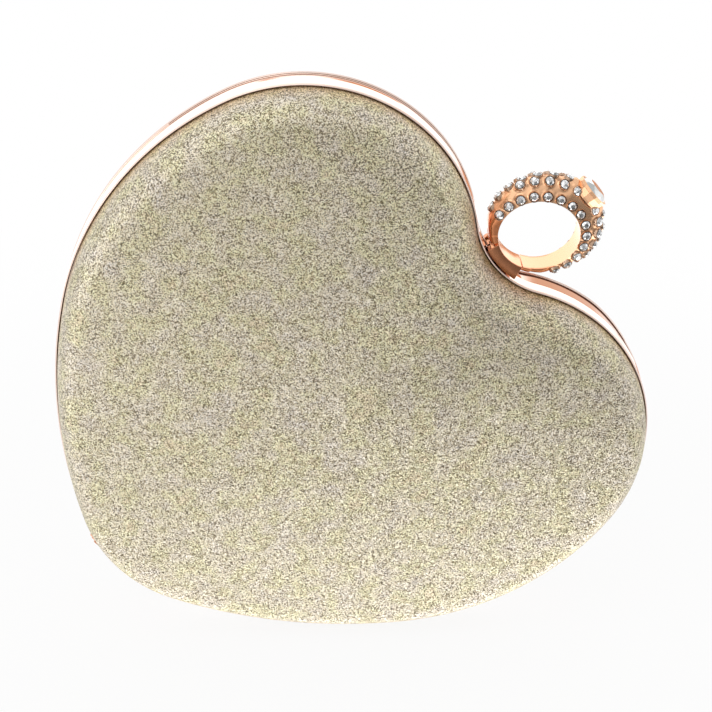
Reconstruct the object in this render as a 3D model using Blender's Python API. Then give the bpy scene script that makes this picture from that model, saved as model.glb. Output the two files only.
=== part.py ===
"""Heart-shaped evening clutch: two puffed glitter halves in polished frames, hinged at the tip,
with a stone-set finger ring in the cleft as the clasp's lever.

Metres, +Z up, front towards -Y, standing on the flat of its lower side. The pieces are drawn in
the heart's own axes: u runs from the tip to the cleft, v across, and w out of the front face.
"""
import math

import bmesh
import bpy
from mathutils import Matrix, Vector

# Heart outline: each half is a tip arc, a side arc with a flat to stand on, a waist arc,
# a lobe arc and a cleft arc. u is zero at the widest line.
HALF_WIDTH = 0.0837
WAIST_RADIUS = 0.0816
LOBE_RADIUS = 0.04545
SIDE_RADIUS = 0.1388
TIP_RADIUS = 0.0402
CLEFT_RADIUS = 0.0234
WAIST_TO_LOBE = math.radians(15.14)
WAIST_TO_SIDE = math.radians(35.1)
TILT = math.radians(40.75)
FLAT_TURN = math.radians(9.92)
TIP_STEPS, SIDE_STEPS, WAIST_STEPS, LOBE_STEPS, CLEFT_STEPS = 2, 4, 7, 10, 3

# Frames: a thin band with a rolled lip and an inner ledge, one for each half
FRAME_DEPTH = 0.00865
PARTING_GAP = 0.0003
BAND_WALL = 0.0008
LIP_WIDTH = 0.0009
LIP_GROOVE = 0.0002
LEDGE_REACH = 0.0032
LEDGE_HEIGHT = 0.0020
LEDGE_WALL = 0.0008

# Puffed halves: glitter cover over a moulded shell over a lining tray
SEAT_GAP = 0.0003
LIP_SHADOW = 0.0005
COVER_WALL = 0.0006
SHELL_WALL = 0.0012
LINING_WALL = 0.0008
FLANGE_WALL = 0.0004
SHOULDER_RUN = 0.0070
SHOULDER_RISE = 0.0115
CROWN_RISE = 0.0055
CROWN_CENTRE_U = -0.0100
SHOULDER_ANGLES = [math.radians(a) for a in (30, 58, 84)]
SHARP_ANGLE = math.radians(32)
CROWN_RING_SHARE = 0.55

# Inner pocket, sewn onto the rear lining
POCKET_WALL = 0.0006
POCKET_TOP_U = 0.0100
POCKET_FROM_TIP = 0.0472
POCKET_HALF = 0.0380

# Case hinge behind the tip
HINGE_HALF = 0.0080
HINGE_OUT = 0.0009
KNUCKLE_RADIUS = 0.0014
KNUCKLE_BORE = 0.00085
KNUCKLE_GAP = 0.0003
MIDDLE_KNUCKLE_HALF = 0.0025
HINGE_PIN_RADIUS = 0.0006
HINGE_HEAD_RADIUS = 0.0011
HINGE_HEAD = 0.0006
LEAF_WALL = 0.0006
LEAF_FAR = 0.0036
NOTCH_DEPTH = 0.0011

# Finger ring: round bore, outer circle set off towards the crown, domed across its width
RING_BORE = 0.01012
RING_OUTER = 0.0140
RING_OFFSET = 0.0022
RING_HALF_WIDTH = 0.0036
CROWN_EXTRA_WIDTH = 0.0006
RING_END = math.radians(151.3)
RING_STEPS = 28
DOME_STEPS = 8

# Clasp: plates on both frames, and the saddle that carries the ring and pivots behind them
PLATE_WALL = 0.0006
PLATE_HALF = 0.0050
PLATE_NEAR = 0.0005
PLATE_STEPS = 6
CATCH_FAR = 0.0039
SADDLE_WALL = 0.0022
SADDLE_HALF = 0.0053
SADDLE_SPAN = math.radians(27)
SADDLE_FRONT = 0.0040
SADDLE_REAR = 0.0036
SADDLE_STEPS = 8
PIVOT_KNUCKLE = 0.0012
PIVOT_BORE = 0.00075
PIVOT_PIN_RADIUS = 0.0005
PIVOT_HEAD_RADIUS = 0.0009
PIVOT_HEAD = 0.0005
BASE_KNUCKLE_NEAR = 0.0014
BASE_KNUCKLE_FAR = 0.0026
SADDLE_KNUCKLE_FAR = 0.0043
BASE_ARM_WALL = 0.0005
ARM_WALL = 0.0010
ARM_RISE = 0.0002
ARM_OVERLAP = 0.0004

# Torsion spring round the pivot pin
SPRING_RADIUS = 0.00095
SPRING_WIRE = 0.00016
SPRING_TURNS = 2.5
SPRING_PITCH = 0.00055
SPRING_TURN_POINTS = 10
SPRING_LEG = 0.0011

# Stones: one row on each face of the ring, three over its crown, and the big one in its seat
STONE_RADIUS = 0.00125
STONE_TABLE_RADIUS = 0.0008
STONE_HEIGHT = 0.0010
STONE_GAP = 0.00015
STONE_SIDES = 8
FACE_ROW_COUNT = 14
FACE_ROW_HALF_SPAN = math.radians(108)
FACE_ROW_RISE = 0.00145
CROWN_ROW_COUNT = 7
CROWN_ROW_START = math.radians(24)
CROWN_ROW_END = math.radians(108)
CROWN_SIDE_COUNT = 4
CROWN_SIDE_SHARE = 0.84
CROWN_STRIP_WALL = 0.00035
CROWN_STRIP_FIRST, CROWN_STRIP_LAST = 2, 10
CROWN_STRIP_HALF_START = math.radians(45)
CROWN_STRIP_HALF_END = math.radians(20)
CROWN_STRIP_STEPS = 4
SEAT_RADIUS = 0.00473
SEAT_RISE = 0.00095
SEAT_SKIRT = 0.0013
SEAT_RIM = 0.0004
SEAT_FLOOR = 0.0003
CRYSTAL_TABLE_RADIUS = 0.0026
CRYSTAL_CROWN = 0.0011

# How far every cutter runs past what it cuts, and the sides of small round pieces
OVERRUN = 0.0050
ROUND_SIDES = 16

ROSE_GOLD = ("rose_gold", (0.83, 0.53, 0.38), 0.16, 1.0)
GLITTER = ("champagne_glitter", (0.62, 0.58, 0.46), 0.45, 0.4)
SHELL_PLASTIC = ("shell_plastic", (0.20, 0.18, 0.16), 0.55, 0.0)
SATIN = ("champagne_satin", (0.66, 0.58, 0.46), 0.45, 0.0)
STEEL = ("spring_steel", (0.62, 0.62, 0.64), 0.30, 1.0)
CRYSTAL = ("clear_crystal", (0.92, 0.94, 0.96), 0.05, 0.0)


def clear_scene():
    for item in list(bpy.data.objects):
        bpy.data.objects.remove(item, do_unlink=True)


def finish_material(finish):
    """One Principled material for each named finish."""
    name, colour, roughness, metallic = finish
    material = bpy.data.materials.get(name)
    if material is None:
        material = bpy.data.materials.new(name)
        material.use_nodes = True
        shader = material.node_tree.nodes["Principled BSDF"]
        shader.inputs["Base Color"].default_value = (*colour, 1.0)
        shader.inputs["Roughness"].default_value = roughness
        shader.inputs["Metallic"].default_value = metallic
    return material


def arc(centre, radius, start, end, steps):
    """Points on a circle from one angle to the other, without the last one."""
    turn = (end - start) / steps
    return [(centre[0] + radius * math.cos(start + turn * i),
             centre[1] + radius * math.sin(start + turn * i)) for i in range(steps)]


# Centres of the outline's arcs, for the half with positive v
WAIST_CENTRE = (0.0, HALF_WIDTH - WAIST_RADIUS)
LOBE_CENTRE = ((WAIST_RADIUS - LOBE_RADIUS) * math.sin(WAIST_TO_LOBE),
               WAIST_CENTRE[1] + (WAIST_RADIUS - LOBE_RADIUS) * math.cos(WAIST_TO_LOBE))
SIDE_CENTRE = ((SIDE_RADIUS - WAIST_RADIUS) * math.sin(WAIST_TO_SIDE),
               WAIST_CENTRE[1] - (SIDE_RADIUS - WAIST_RADIUS) * math.cos(WAIST_TO_SIDE))
TIP_CENTRE_U = SIDE_CENTRE[0] - math.sqrt((SIDE_RADIUS - TIP_RADIUS) ** 2 - SIDE_CENTRE[1] ** 2)
CLEFT_CENTRE_U = LOBE_CENTRE[0] + math.sqrt((LOBE_RADIUS + CLEFT_RADIUS) ** 2 - LOBE_CENTRE[1] ** 2)
TIP_U = TIP_CENTRE_U - TIP_RADIUS
CLEFT_U = CLEFT_CENTRE_U - CLEFT_RADIUS
LIP_W = FRAME_DEPTH / 2


def heart_outline():
    """The closed outline, one half and then its mirror image."""
    tip_end = math.atan2(-SIDE_CENTRE[1], TIP_CENTRE_U - SIDE_CENTRE[0])
    lobe_end = math.atan2(-LOBE_CENTRE[1], CLEFT_CENTRE_U - LOBE_CENTRE[0])
    flat_middle = math.pi / 2 + TILT
    waist_start = math.pi / 2 + WAIST_TO_SIDE
    half = arc((TIP_CENTRE_U, 0.0), TIP_RADIUS, math.pi, tip_end, TIP_STEPS)
    half += arc(SIDE_CENTRE, SIDE_RADIUS, tip_end, flat_middle + FLAT_TURN / 2, SIDE_STEPS)
    half += arc(SIDE_CENTRE, SIDE_RADIUS, flat_middle + FLAT_TURN / 2, flat_middle - FLAT_TURN / 2, 1)
    half += arc(SIDE_CENTRE, SIDE_RADIUS, flat_middle - FLAT_TURN / 2, waist_start, 1)
    half += arc(WAIST_CENTRE, WAIST_RADIUS, waist_start, math.pi / 2 - WAIST_TO_LOBE, WAIST_STEPS)
    half += arc(LOBE_CENTRE, LOBE_RADIUS, math.pi / 2 - WAIST_TO_LOBE, lobe_end, LOBE_STEPS)
    half += arc((CLEFT_CENTRE_U, 0.0), CLEFT_RADIUS, lobe_end + math.pi, math.pi, CLEFT_STEPS)
    mirrored = [(u, -v) for u, v in reversed(half[1:])]
    return half + [(CLEFT_U, 0.0)] + mirrored


OUTLINE = heart_outline()


def offset_outline(out):
    """The outline moved outwards, or inwards where out is negative."""
    moved = []
    for i, here in enumerate(OUTLINE):
        point = Vector(here)
        before = (point - Vector(OUTLINE[i - 1])).normalized()
        after = (Vector(OUTLINE[(i + 1) % len(OUTLINE)]) - point).normalized()
        # The outline turns clockwise seen from +w, so its outside lies to the left of its run
        normal = Vector((-before[1] - after[1], before[0] + after[0])).normalized()
        stretch = 1 / (normal.dot(Vector((-before[1], before[0]))))
        moved.append(point + normal * out * stretch)
    return moved


def ring_at(out, w):
    return [Vector((p[0], p[1], w)) for p in offset_outline(out)]


def new_object(name, bm, finish, parent):
    """Makes the object in heart axes, on a parent empty that may sit on a joint's axis."""
    bmesh.ops.recalc_face_normals(bm, faces=bm.faces)
    mesh = bpy.data.meshes.new(name)
    bm.to_mesh(mesh)
    bm.free()
    mesh.shade_smooth()
    mesh.set_sharp_from_angle(angle=SHARP_ANGLE)
    item = bpy.data.objects.new(name, mesh)
    bpy.context.scene.collection.objects.link(item)
    item.data.materials.append(finish_material(finish))
    item.parent = parent
    item.location = -parent.location if parent.parent else (0, 0, 0)
    return item


def loft(rings, closed):
    """Joins rings of equal count. Closed joins last to first, open caps or fans both ends."""
    bm = bmesh.new()
    rows = [[bm.verts.new(p) for p in ring] for ring in rings]
    pairs = list(zip(rows, rows[1:] + rows[:1])) if closed else list(zip(rows, rows[1:]))
    for near, far in pairs:
        count = max(len(near), len(far))
        for i in range(count):
            j = (i + 1) % count
            if len(near) == 1:
                bm.faces.new((near[0], far[j], far[i]))
            elif len(far) == 1:
                bm.faces.new((near[i], near[j], far[0]))
            else:
                bm.faces.new((near[i], near[j], far[j], far[i]))
    if not closed:
        for row in (rows[0], rows[-1]):
            if len(row) > 1:
                bm.faces.new(row)
    return bm


def box(low, high):
    bm = bmesh.new()
    bmesh.ops.create_cube(bm, size=1)
    for vert in bm.verts:
        vert.co = [low[k] + (vert.co[k] + 0.5) * (high[k] - low[k]) for k in range(3)]
    return bm


def turned(profile, sides, place):
    """A solid of revolution: profile is (radius, along), turned about the placement's Z."""
    rings = []
    for radius, along in profile:
        if radius == 0:
            rings.append([place @ Vector((0, 0, along))])
        else:
            rings.append([place @ Vector((radius * math.cos(2 * math.pi * i / sides),
                                          radius * math.sin(2 * math.pi * i / sides), along))
                          for i in range(sides)])
    return loft(rings, False)


def across_v(u, w):
    """Placement whose Z runs along +v, through the point u, w."""
    return Matrix.Translation((u, 0, w)) @ Matrix.Rotation(-math.pi / 2, 4, "X")


def rod(radius, low, high, place):
    return turned([(radius, low), (radius, high)], ROUND_SIDES, place)


def headed_pin(radius, head_radius, half, head, place):
    return turned([(head_radius, -half - head), (head_radius, -half), (radius, -half),
                   (radius, half), (head_radius, half), (head_radius, half + head)],
                  ROUND_SIDES, place)


def merge(item, solid, operation):
    """Joins a bmesh solid to the object, or cuts it out, with an exact Boolean."""
    tool_mesh = bpy.data.meshes.new("tool")
    bmesh.ops.recalc_face_normals(solid, faces=solid.faces)
    solid.to_mesh(tool_mesh)
    solid.free()
    tool = bpy.data.objects.new("tool", tool_mesh)
    bpy.context.scene.collection.objects.link(tool)
    tool.parent, tool.location = item.parent, item.location
    tool.hide_render, tool.display_type = True, "WIRE"
    modifier = item.modifiers.new("cut", "BOOLEAN")
    modifier.object, modifier.operation, modifier.solver = tool, operation, "EXACT"
    bpy.context.view_layer.update()
    shaped = bpy.data.meshes.new_from_object(item.evaluated_get(bpy.context.evaluated_depsgraph_get()))
    item.modifiers.remove(modifier)
    item.data = shaped
    bpy.data.objects.remove(tool, do_unlink=True)


def frame(name, side, parent):
    """One half's band: side is 1 for the front and -1 for the rear."""
    groove_w = LIP_W - LIP_WIDTH
    section = [(0, PARTING_GAP / 2), (0, groove_w - LIP_GROOVE), (-LIP_GROOVE, groove_w),
               (0, groove_w + LIP_GROOVE), (0, LIP_W - LIP_GROOVE), (-LIP_GROOVE, LIP_W),
               (-BAND_WALL, LIP_W), (-BAND_WALL, LEDGE_HEIGHT + LEDGE_WALL),
               (-LEDGE_REACH, LEDGE_HEIGHT + LEDGE_WALL), (-LEDGE_REACH, LEDGE_HEIGHT),
               (-BAND_WALL, LEDGE_HEIGHT), (-BAND_WALL, PARTING_GAP / 2)]
    item = new_object(name, loft([ring_at(out, side * w) for out, w in section], True),
                      ROSE_GOLD, parent)
    reach = HINGE_HALF + HINGE_HEAD + 2 * KNUCKLE_GAP
    depth = KNUCKLE_RADIUS + KNUCKLE_GAP
    notch = box((TIP_U - OVERRUN, -reach, -depth), (TIP_U + NOTCH_DEPTH, reach, depth))
    merge(item, notch, "DIFFERENCE")
    return item


def puff_rings(inset, foot, drop, side):
    """Rings of one puffed surface from its foot to its apex, drop below the outermost one."""
    rise = SHOULDER_RISE - drop
    rings = [ring_at(-inset, side * foot), ring_at(-inset, side * LIP_W)]
    for angle in SHOULDER_ANGLES:
        rings.append(ring_at(-inset - SHOULDER_RUN * (1 - math.cos(angle)),
                             side * (LIP_W + rise * math.sin(angle))))
    top = LIP_W + rise * math.sin(SHOULDER_ANGLES[-1])
    centre = Vector((CROWN_CENTRE_U, 0, 0))
    crown = []
    for point in rings[-1]:
        place = centre + (point - centre) * CROWN_RING_SHARE
        place[2] = side * (top + CROWN_RISE * (1 - CROWN_RING_SHARE ** 2))
        crown.append(place)
    rings.append(crown)
    rings.append([Vector((CROWN_CENTRE_U, 0, side * (top + CROWN_RISE)))])
    return rings


COVER_INSET = BAND_WALL + LIP_SHADOW
SHELL_INSET = COVER_INSET + COVER_WALL + SEAT_GAP
LINING_INSET = SHELL_INSET + SHELL_WALL + SEAT_GAP
SHELL_DROP = COVER_WALL + SEAT_GAP
LINING_DROP = SHELL_DROP + SHELL_WALL + SEAT_GAP
SHELL_FOOT = LEDGE_HEIGHT + LEDGE_WALL + SEAT_GAP


def puffed_solid(name, inset, drop, wall, finish, side, parent):
    outer = puff_rings(inset, SHELL_FOOT, drop, side)
    inner = puff_rings(inset + wall, SHELL_FOOT, drop + wall, side)
    return new_object(name, loft(outer[::-1] + inner, False), finish, parent)


def lining(name, side, parent):
    """Tray inside the shell, with a flange that covers the frame's ledge."""
    flange_far = LEDGE_HEIGHT - SEAT_GAP
    flange_near = flange_far - FLANGE_WALL
    flange_out = BAND_WALL + SEAT_GAP
    outer = puff_rings(LINING_INSET, flange_far, LINING_DROP, side)
    inner = puff_rings(LINING_INSET + LINING_WALL, flange_near, LINING_DROP + LINING_WALL, side)
    flange = [ring_at(-flange_out, side * flange_far), ring_at(-flange_out, side * flange_near)]
    return new_object(name, loft(outer[::-1] + flange + inner, False), SATIN, parent)


def pocket(parent):
    """A slip pocket on the rear lining: a slice of the lining's inside, just clear of it."""
    drop = LINING_DROP + LINING_WALL + SEAT_GAP
    inset = LINING_INSET + LINING_WALL + SEAT_GAP
    outer = puff_rings(inset, LIP_W, drop, -1)[-3:]
    inner = puff_rings(inset + POCKET_WALL, LIP_W, drop + POCKET_WALL, -1)[-3:]
    item = new_object("inner_pocket", loft(outer[::-1] + inner, False), SATIN, parent)
    depth = LIP_W + SHOULDER_RISE + CROWN_RISE
    window = box((TIP_U + POCKET_FROM_TIP, -POCKET_HALF, -depth), (POCKET_TOP_U, POCKET_HALF, 0))
    merge(item, window, "INTERSECT")
    return item


HINGE_U = TIP_U - HINGE_OUT


def hinge_leaf(name, side, knuckles, parent):
    """A leaf on the band's outside, with its knuckles round the hinge line."""
    root = KNUCKLE_RADIUS + KNUCKLE_GAP
    outside, inside = TIP_U - SEAT_GAP - LEAF_WALL, TIP_U - SEAT_GAP
    near, far = sorted((side * root, side * LEAF_FAR))
    item = new_object(name, box((outside, -HINGE_HALF, near), (inside, HINGE_HALF, far)),
                      ROSE_GOLD, parent)
    for low, high in knuckles:
        near, far = sorted((0, side * (root + KNUCKLE_GAP)))
        merge(item, box((outside, low, near), (inside, high, far)), "UNION")
        merge(item, rod(KNUCKLE_RADIUS, low, high, across_v(HINGE_U, 0)), "UNION")
    bore = rod(KNUCKLE_BORE, -HINGE_HALF - OVERRUN, HINGE_HALF + OVERRUN, across_v(HINGE_U, 0))
    merge(item, bore, "DIFFERENCE")
    return item


# Places of the clasp, worked out from the cleft
CATCH_RADIUS = CLEFT_RADIUS - SEAT_GAP
SADDLE_RADIUS = CATCH_RADIUS - PLATE_WALL - SEAT_GAP
RING_CENTRE_U = CLEFT_CENTRE_U - SADDLE_RADIUS + SADDLE_WALL + RING_BORE
PIVOT_U = CLEFT_U + SEAT_GAP + PLATE_WALL
PIVOT_W = -LIP_W - SEAT_GAP - PIVOT_KNUCKLE
BASE_FAR = SADDLE_REAR - ARM_OVERLAP - SEAT_GAP


def slab(outline, low, high):
    """A prism along w."""
    return loft([[Vector((u, v, low)) for u, v in outline],
                 [Vector((u, v, high)) for u, v in outline]], False)


def cleft_plate(near, far):
    """A thin plate that follows the cleft of the band."""
    half = math.asin(PLATE_HALF / CATCH_RADIUS)
    centre = (CLEFT_CENTRE_U, 0.0)
    inner = arc(centre, CATCH_RADIUS, math.pi - half, math.pi + half, PLATE_STEPS)
    inner.append((centre[0] - CATCH_RADIUS * math.cos(half), -CATCH_RADIUS * math.sin(half)))
    thinner = (CATCH_RADIUS - PLATE_WALL) / CATCH_RADIUS
    outer = [(centre[0] + (u - centre[0]) * thinner, v * thinner) for u, v in reversed(inner)]
    return slab(inner + outer, near, far)


def clasp_base(parent):
    """The rear frame's plate, with two arms that carry the pivot."""
    item = new_object("clasp_base", cleft_plate(-BASE_FAR, -PLATE_NEAR), ROSE_GOLD, parent)
    for low, high in both_sides(BASE_KNUCKLE_NEAR, BASE_KNUCKLE_FAR):
        arm = box((PIVOT_U - BASE_ARM_WALL, low, PIVOT_W), (PIVOT_U, high, -BASE_FAR + ARM_OVERLAP))
        merge(item, arm, "UNION")
        merge(item, rod(PIVOT_KNUCKLE, low, high, across_v(PIVOT_U, PIVOT_W)), "UNION")
    merge(item, pivot_bore(), "DIFFERENCE")
    return item


def both_sides(near, far):
    return [(near, far), (-far, -near)]


def pivot_bore():
    reach = SADDLE_KNUCKLE_FAR + OVERRUN
    return rod(PIVOT_BORE, -reach, reach, across_v(PIVOT_U, PIVOT_W))


def saddle(parent):
    """The block between the frames' cleft and the ring's bore, pivoting behind them."""
    centre = (RING_CENTRE_U, 0.0)
    bore = arc(centre, RING_BORE, math.pi - SADDLE_SPAN, math.pi + SADDLE_SPAN, SADDLE_STEPS)
    bore.append((centre[0] - RING_BORE * math.cos(SADDLE_SPAN), -RING_BORE * math.sin(SADDLE_SPAN)))
    half = math.asin(SADDLE_HALF / SADDLE_RADIUS)
    under = arc((CLEFT_CENTRE_U, 0.0), SADDLE_RADIUS, math.pi + half, math.pi - half, SADDLE_STEPS)
    under.append((CLEFT_CENTRE_U - SADDLE_RADIUS * math.cos(half), SADDLE_RADIUS * math.sin(half)))
    item = new_object("clasp_saddle", slab(bore + under, -SADDLE_REAR, SADDLE_FRONT),
                      ROSE_GOLD, parent)
    for low, high in both_sides(BASE_KNUCKLE_FAR + KNUCKLE_GAP, SADDLE_KNUCKLE_FAR):
        arm = box((PIVOT_U + ARM_RISE, low, PIVOT_W),
                  (PIVOT_U + ARM_RISE + ARM_WALL, high, -SADDLE_REAR + ARM_OVERLAP))
        merge(item, arm, "UNION")
        merge(item, rod(PIVOT_KNUCKLE, low, high, across_v(PIVOT_U, PIVOT_W)), "UNION")
    merge(item, pivot_bore(), "DIFFERENCE")
    return item


def clasp_spring(parent):
    """Torsion spring: one leg against the rear frame's edge, one under the saddle's back."""
    curve = bpy.data.curves.new("clasp_spring", "CURVE")
    curve.dimensions = "3D"
    curve.bevel_depth, curve.bevel_resolution, curve.use_fill_caps = SPRING_WIRE, 1, True
    count = round(SPRING_TURNS * SPRING_TURN_POINTS)
    half = SPRING_TURNS * SPRING_PITCH / 2
    points = [(-SPRING_RADIUS, -half, SPRING_LEG)]
    for i in range(count + 1):
        turn = math.pi / 2 + 2 * math.pi * SPRING_TURNS * i / count
        points.append((-SPRING_RADIUS * math.sin(turn), -half + 2 * half * i / count,
                       SPRING_RADIUS * math.cos(turn)))
    points.append((SPRING_RADIUS, half, SPRING_LEG))
    spline = curve.splines.new("POLY")
    spline.points.add(len(points) - 1)
    for target, (u, v, w) in zip(spline.points, points):
        target.co = (PIVOT_U + u, v, PIVOT_W + w, 1)
    item = bpy.data.objects.new("clasp_spring", curve)
    bpy.context.scene.collection.objects.link(item)
    curve.materials.append(finish_material(STEEL))
    item.parent = parent
    return item


def ring_wall(theta):
    """The ring's thickness at an angle from its crown."""
    return (RING_OFFSET * math.cos(theta) - RING_BORE
            + math.sqrt(RING_OUTER ** 2 - (RING_OFFSET * math.sin(theta)) ** 2))


def ring_surface(theta, psi, lift):
    """A point over the ring's dome, and the way out there. psi runs from front to rear face."""
    wall = ring_wall(theta)
    half = RING_HALF_WIDTH + CROWN_EXTRA_WIDTH * (1 + math.cos(theta)) / 2
    away = Vector((math.cos(theta), math.sin(theta), 0))
    normal = (away * math.sin(psi) / wall + Vector((0, 0, math.cos(psi) / half))).normalized()
    point = (Vector((RING_CENTRE_U, 0, half * math.cos(psi)))
             + away * (RING_BORE + wall * math.sin(psi)))
    return point + normal * lift, normal


def station(index):
    """Angle of one of the ring's cross-sections, counted from the middle of its crown."""
    return 2 * RING_END * index / RING_STEPS


def ring_solid(lift):
    """The ring's body, grown by lift over its dome."""
    rings = [[ring_surface(station(i), math.pi * k / DOME_STEPS, lift)[0]
              for k in range(DOME_STEPS + 1)]
             for i in range(-RING_STEPS // 2, RING_STEPS // 2 + 1)]
    return loft(rings, False)


def finger_ring(parent):
    return new_object("finger_ring", ring_solid(0), ROSE_GOLD, parent)


def stone(theta, psi, lift):
    point, normal = ring_surface(theta, psi, lift)
    place = Matrix.Translation(point) @ normal.to_track_quat("Z", "Y").to_matrix().to_4x4()
    return turned([(STONE_RADIUS, 0), (STONE_TABLE_RADIUS, STONE_HEIGHT)], STONE_SIDES, place)


def face_stones(parent):
    """A row of single stones on the front face and one on the rear face."""
    for i in range(FACE_ROW_COUNT):
        theta = FACE_ROW_HALF_SPAN * (2 * i / (FACE_ROW_COUNT - 1) - 1)
        psi = math.asin(FACE_ROW_RISE / ring_wall(theta))
        new_object(f"front_stone_{i + 1:02d}", stone(theta, psi, STONE_GAP), CRYSTAL, parent)
        new_object(f"rear_stone_{i + 1:02d}", stone(theta, math.pi - psi, STONE_GAP), CRYSTAL, parent)


def strip_half(theta):
    """Half the crown strip's width, as an angle on the dome. It narrows down the legs."""
    first, last = station(CROWN_STRIP_FIRST), station(CROWN_STRIP_LAST)
    share = (theta - first) / (last - first)
    return CROWN_STRIP_HALF_START + (CROWN_STRIP_HALF_END - CROWN_STRIP_HALF_START) * share


def crown_stones(name, side, parent):
    """Rows of stones on one strip, from the big crystal down one side of the crown."""
    rings = []
    for i in range(CROWN_STRIP_FIRST, CROWN_STRIP_LAST + 1):
        half = strip_half(station(i))
        steps = [math.pi / 2 + half * (2 * k / CROWN_STRIP_STEPS - 1)
                 for k in range(CROWN_STRIP_STEPS + 1)]
        top = STONE_GAP + CROWN_STRIP_WALL
        low = [ring_surface(side * station(i), psi, STONE_GAP)[0] for psi in steps]
        high = [ring_surface(side * station(i), psi, top)[0] for psi in reversed(steps)]
        rings.append(low + high)
    item = new_object(name, loft(rings, False), CRYSTAL, parent)
    for share, count in ((-CROWN_SIDE_SHARE, CROWN_SIDE_COUNT), (0, CROWN_ROW_COUNT),
                         (CROWN_SIDE_SHARE, CROWN_SIDE_COUNT)):
        for i in range(count):
            theta = CROWN_ROW_START + (CROWN_ROW_END - CROWN_ROW_START) * i / (CROWN_ROW_COUNT - 1)
            psi = math.pi / 2 + share * strip_half(theta)
            solid = stone(side * theta, psi, STONE_GAP + CROWN_STRIP_WALL / 2)
            merge(item, solid, "UNION")
    return item


def centre_stone(parent):
    """The collar that caps the crown, and the big crystal in it."""
    crown = RING_CENTRE_U + RING_BORE + ring_wall(0)
    place = Matrix.Translation((crown, 0, 0)) @ Matrix.Rotation(math.pi / 2, 4, "Y")
    inside = SEAT_RADIUS - SEAT_RIM
    floor = STONE_GAP + SEAT_FLOOR
    collar = [(0, floor), (inside, floor), (inside, SEAT_RISE), (SEAT_RADIUS, SEAT_RISE),
              (SEAT_RADIUS, -SEAT_SKIRT), (0, -SEAT_SKIRT)]
    seat = new_object("crystal_seat", turned(collar, ROUND_SIDES, place), ROSE_GOLD, parent)
    merge(seat, ring_solid(STONE_GAP), "DIFFERENCE")
    girdle = inside - STONE_GAP
    crystal = [(girdle, floor + STONE_GAP), (girdle, SEAT_RISE),
               (CRYSTAL_TABLE_RADIUS, SEAT_RISE + CRYSTAL_CROWN)]
    new_object("centre_crystal", turned(crystal, ROUND_SIDES, place), CRYSTAL, parent)


def axis_empty(name, location, parent):
    item = bpy.data.objects.new(name, None)
    bpy.context.scene.collection.objects.link(item)
    item.parent, item.location = parent, location
    return item


def heart_axes():
    """Tilts the heart as it stands: flat down, cleft to the upper right, front to -Y."""
    across = [u * math.cos(TILT) - v * math.sin(TILT) for u, v in OUTLINE]
    up = [u * math.sin(TILT) + v * math.cos(TILT) for u, v in OUTLINE]
    axes = axis_empty("heart_axes", (-(max(across) + min(across)) / 2, 0, -min(up)), None)
    axes.rotation_euler = (math.pi / 2, -TILT, 0)
    return axes


def main():
    clear_scene()
    heart = heart_axes()
    case_hinge = axis_empty("case_hinge_axis", (HINGE_U, 0, 0), heart)
    clasp_pivot = axis_empty("clasp_pivot_axis", (PIVOT_U, 0, PIVOT_W), heart)

    for end, side, parent in (("front", 1, case_hinge), ("rear", -1, heart)):
        frame(f"{end}_frame", side, parent)
        puffed_solid(f"{end}_glitter_cover", COVER_INSET, 0, COVER_WALL, GLITTER, side, parent)
        puffed_solid(f"{end}_shell", SHELL_INSET, SHELL_DROP, SHELL_WALL, SHELL_PLASTIC, side, parent)
        lining(f"{end}_lining", side, parent)
    pocket(heart)

    hinge_leaf("front_hinge_leaf", 1,
               both_sides(MIDDLE_KNUCKLE_HALF + KNUCKLE_GAP, HINGE_HALF), case_hinge)
    hinge_leaf("rear_hinge_leaf", -1, [(-MIDDLE_KNUCKLE_HALF, MIDDLE_KNUCKLE_HALF)], heart)
    new_object("hinge_pin", headed_pin(HINGE_PIN_RADIUS, HINGE_HEAD_RADIUS, HINGE_HALF + KNUCKLE_GAP,
                                       HINGE_HEAD, across_v(HINGE_U, 0)), ROSE_GOLD, heart)

    new_object("front_catch_plate", cleft_plate(PLATE_NEAR, CATCH_FAR), ROSE_GOLD, case_hinge)
    clasp_base(heart)
    new_object("clasp_pivot_pin",
               headed_pin(PIVOT_PIN_RADIUS, PIVOT_HEAD_RADIUS, SADDLE_KNUCKLE_FAR + KNUCKLE_GAP,
                          PIVOT_HEAD, across_v(PIVOT_U, PIVOT_W)), STEEL, heart)
    clasp_spring(heart)

    saddle(clasp_pivot)
    finger_ring(clasp_pivot)
    face_stones(clasp_pivot)
    crown_stones("left_crown_stones", 1, clasp_pivot)
    crown_stones("right_crown_stones", -1, clasp_pivot)
    centre_stone(clasp_pivot)
    bpy.context.view_layer.update()


main()
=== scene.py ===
import math
import random

import bmesh
import bpy
from mathutils import Matrix, Vector


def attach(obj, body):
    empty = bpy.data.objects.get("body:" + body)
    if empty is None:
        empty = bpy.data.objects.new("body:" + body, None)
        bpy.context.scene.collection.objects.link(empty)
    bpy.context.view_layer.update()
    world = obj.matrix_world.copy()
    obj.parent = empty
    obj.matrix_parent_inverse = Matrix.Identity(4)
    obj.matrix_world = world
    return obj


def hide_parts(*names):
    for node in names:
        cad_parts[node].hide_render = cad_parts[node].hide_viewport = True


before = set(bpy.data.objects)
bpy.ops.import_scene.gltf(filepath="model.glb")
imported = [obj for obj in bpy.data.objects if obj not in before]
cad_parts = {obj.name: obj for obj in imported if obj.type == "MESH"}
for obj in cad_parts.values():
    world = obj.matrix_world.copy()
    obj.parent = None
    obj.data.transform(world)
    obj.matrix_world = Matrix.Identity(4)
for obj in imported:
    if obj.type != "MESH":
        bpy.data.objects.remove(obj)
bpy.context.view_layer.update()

# Heart outline, in metres: the arcs of one half, from the tip to the cleft
HALF_WIDTH = 0.0837
WAIST_RADIUS = 0.0816
LOBE_RADIUS = 0.04545
SIDE_RADIUS = 0.1388
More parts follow.
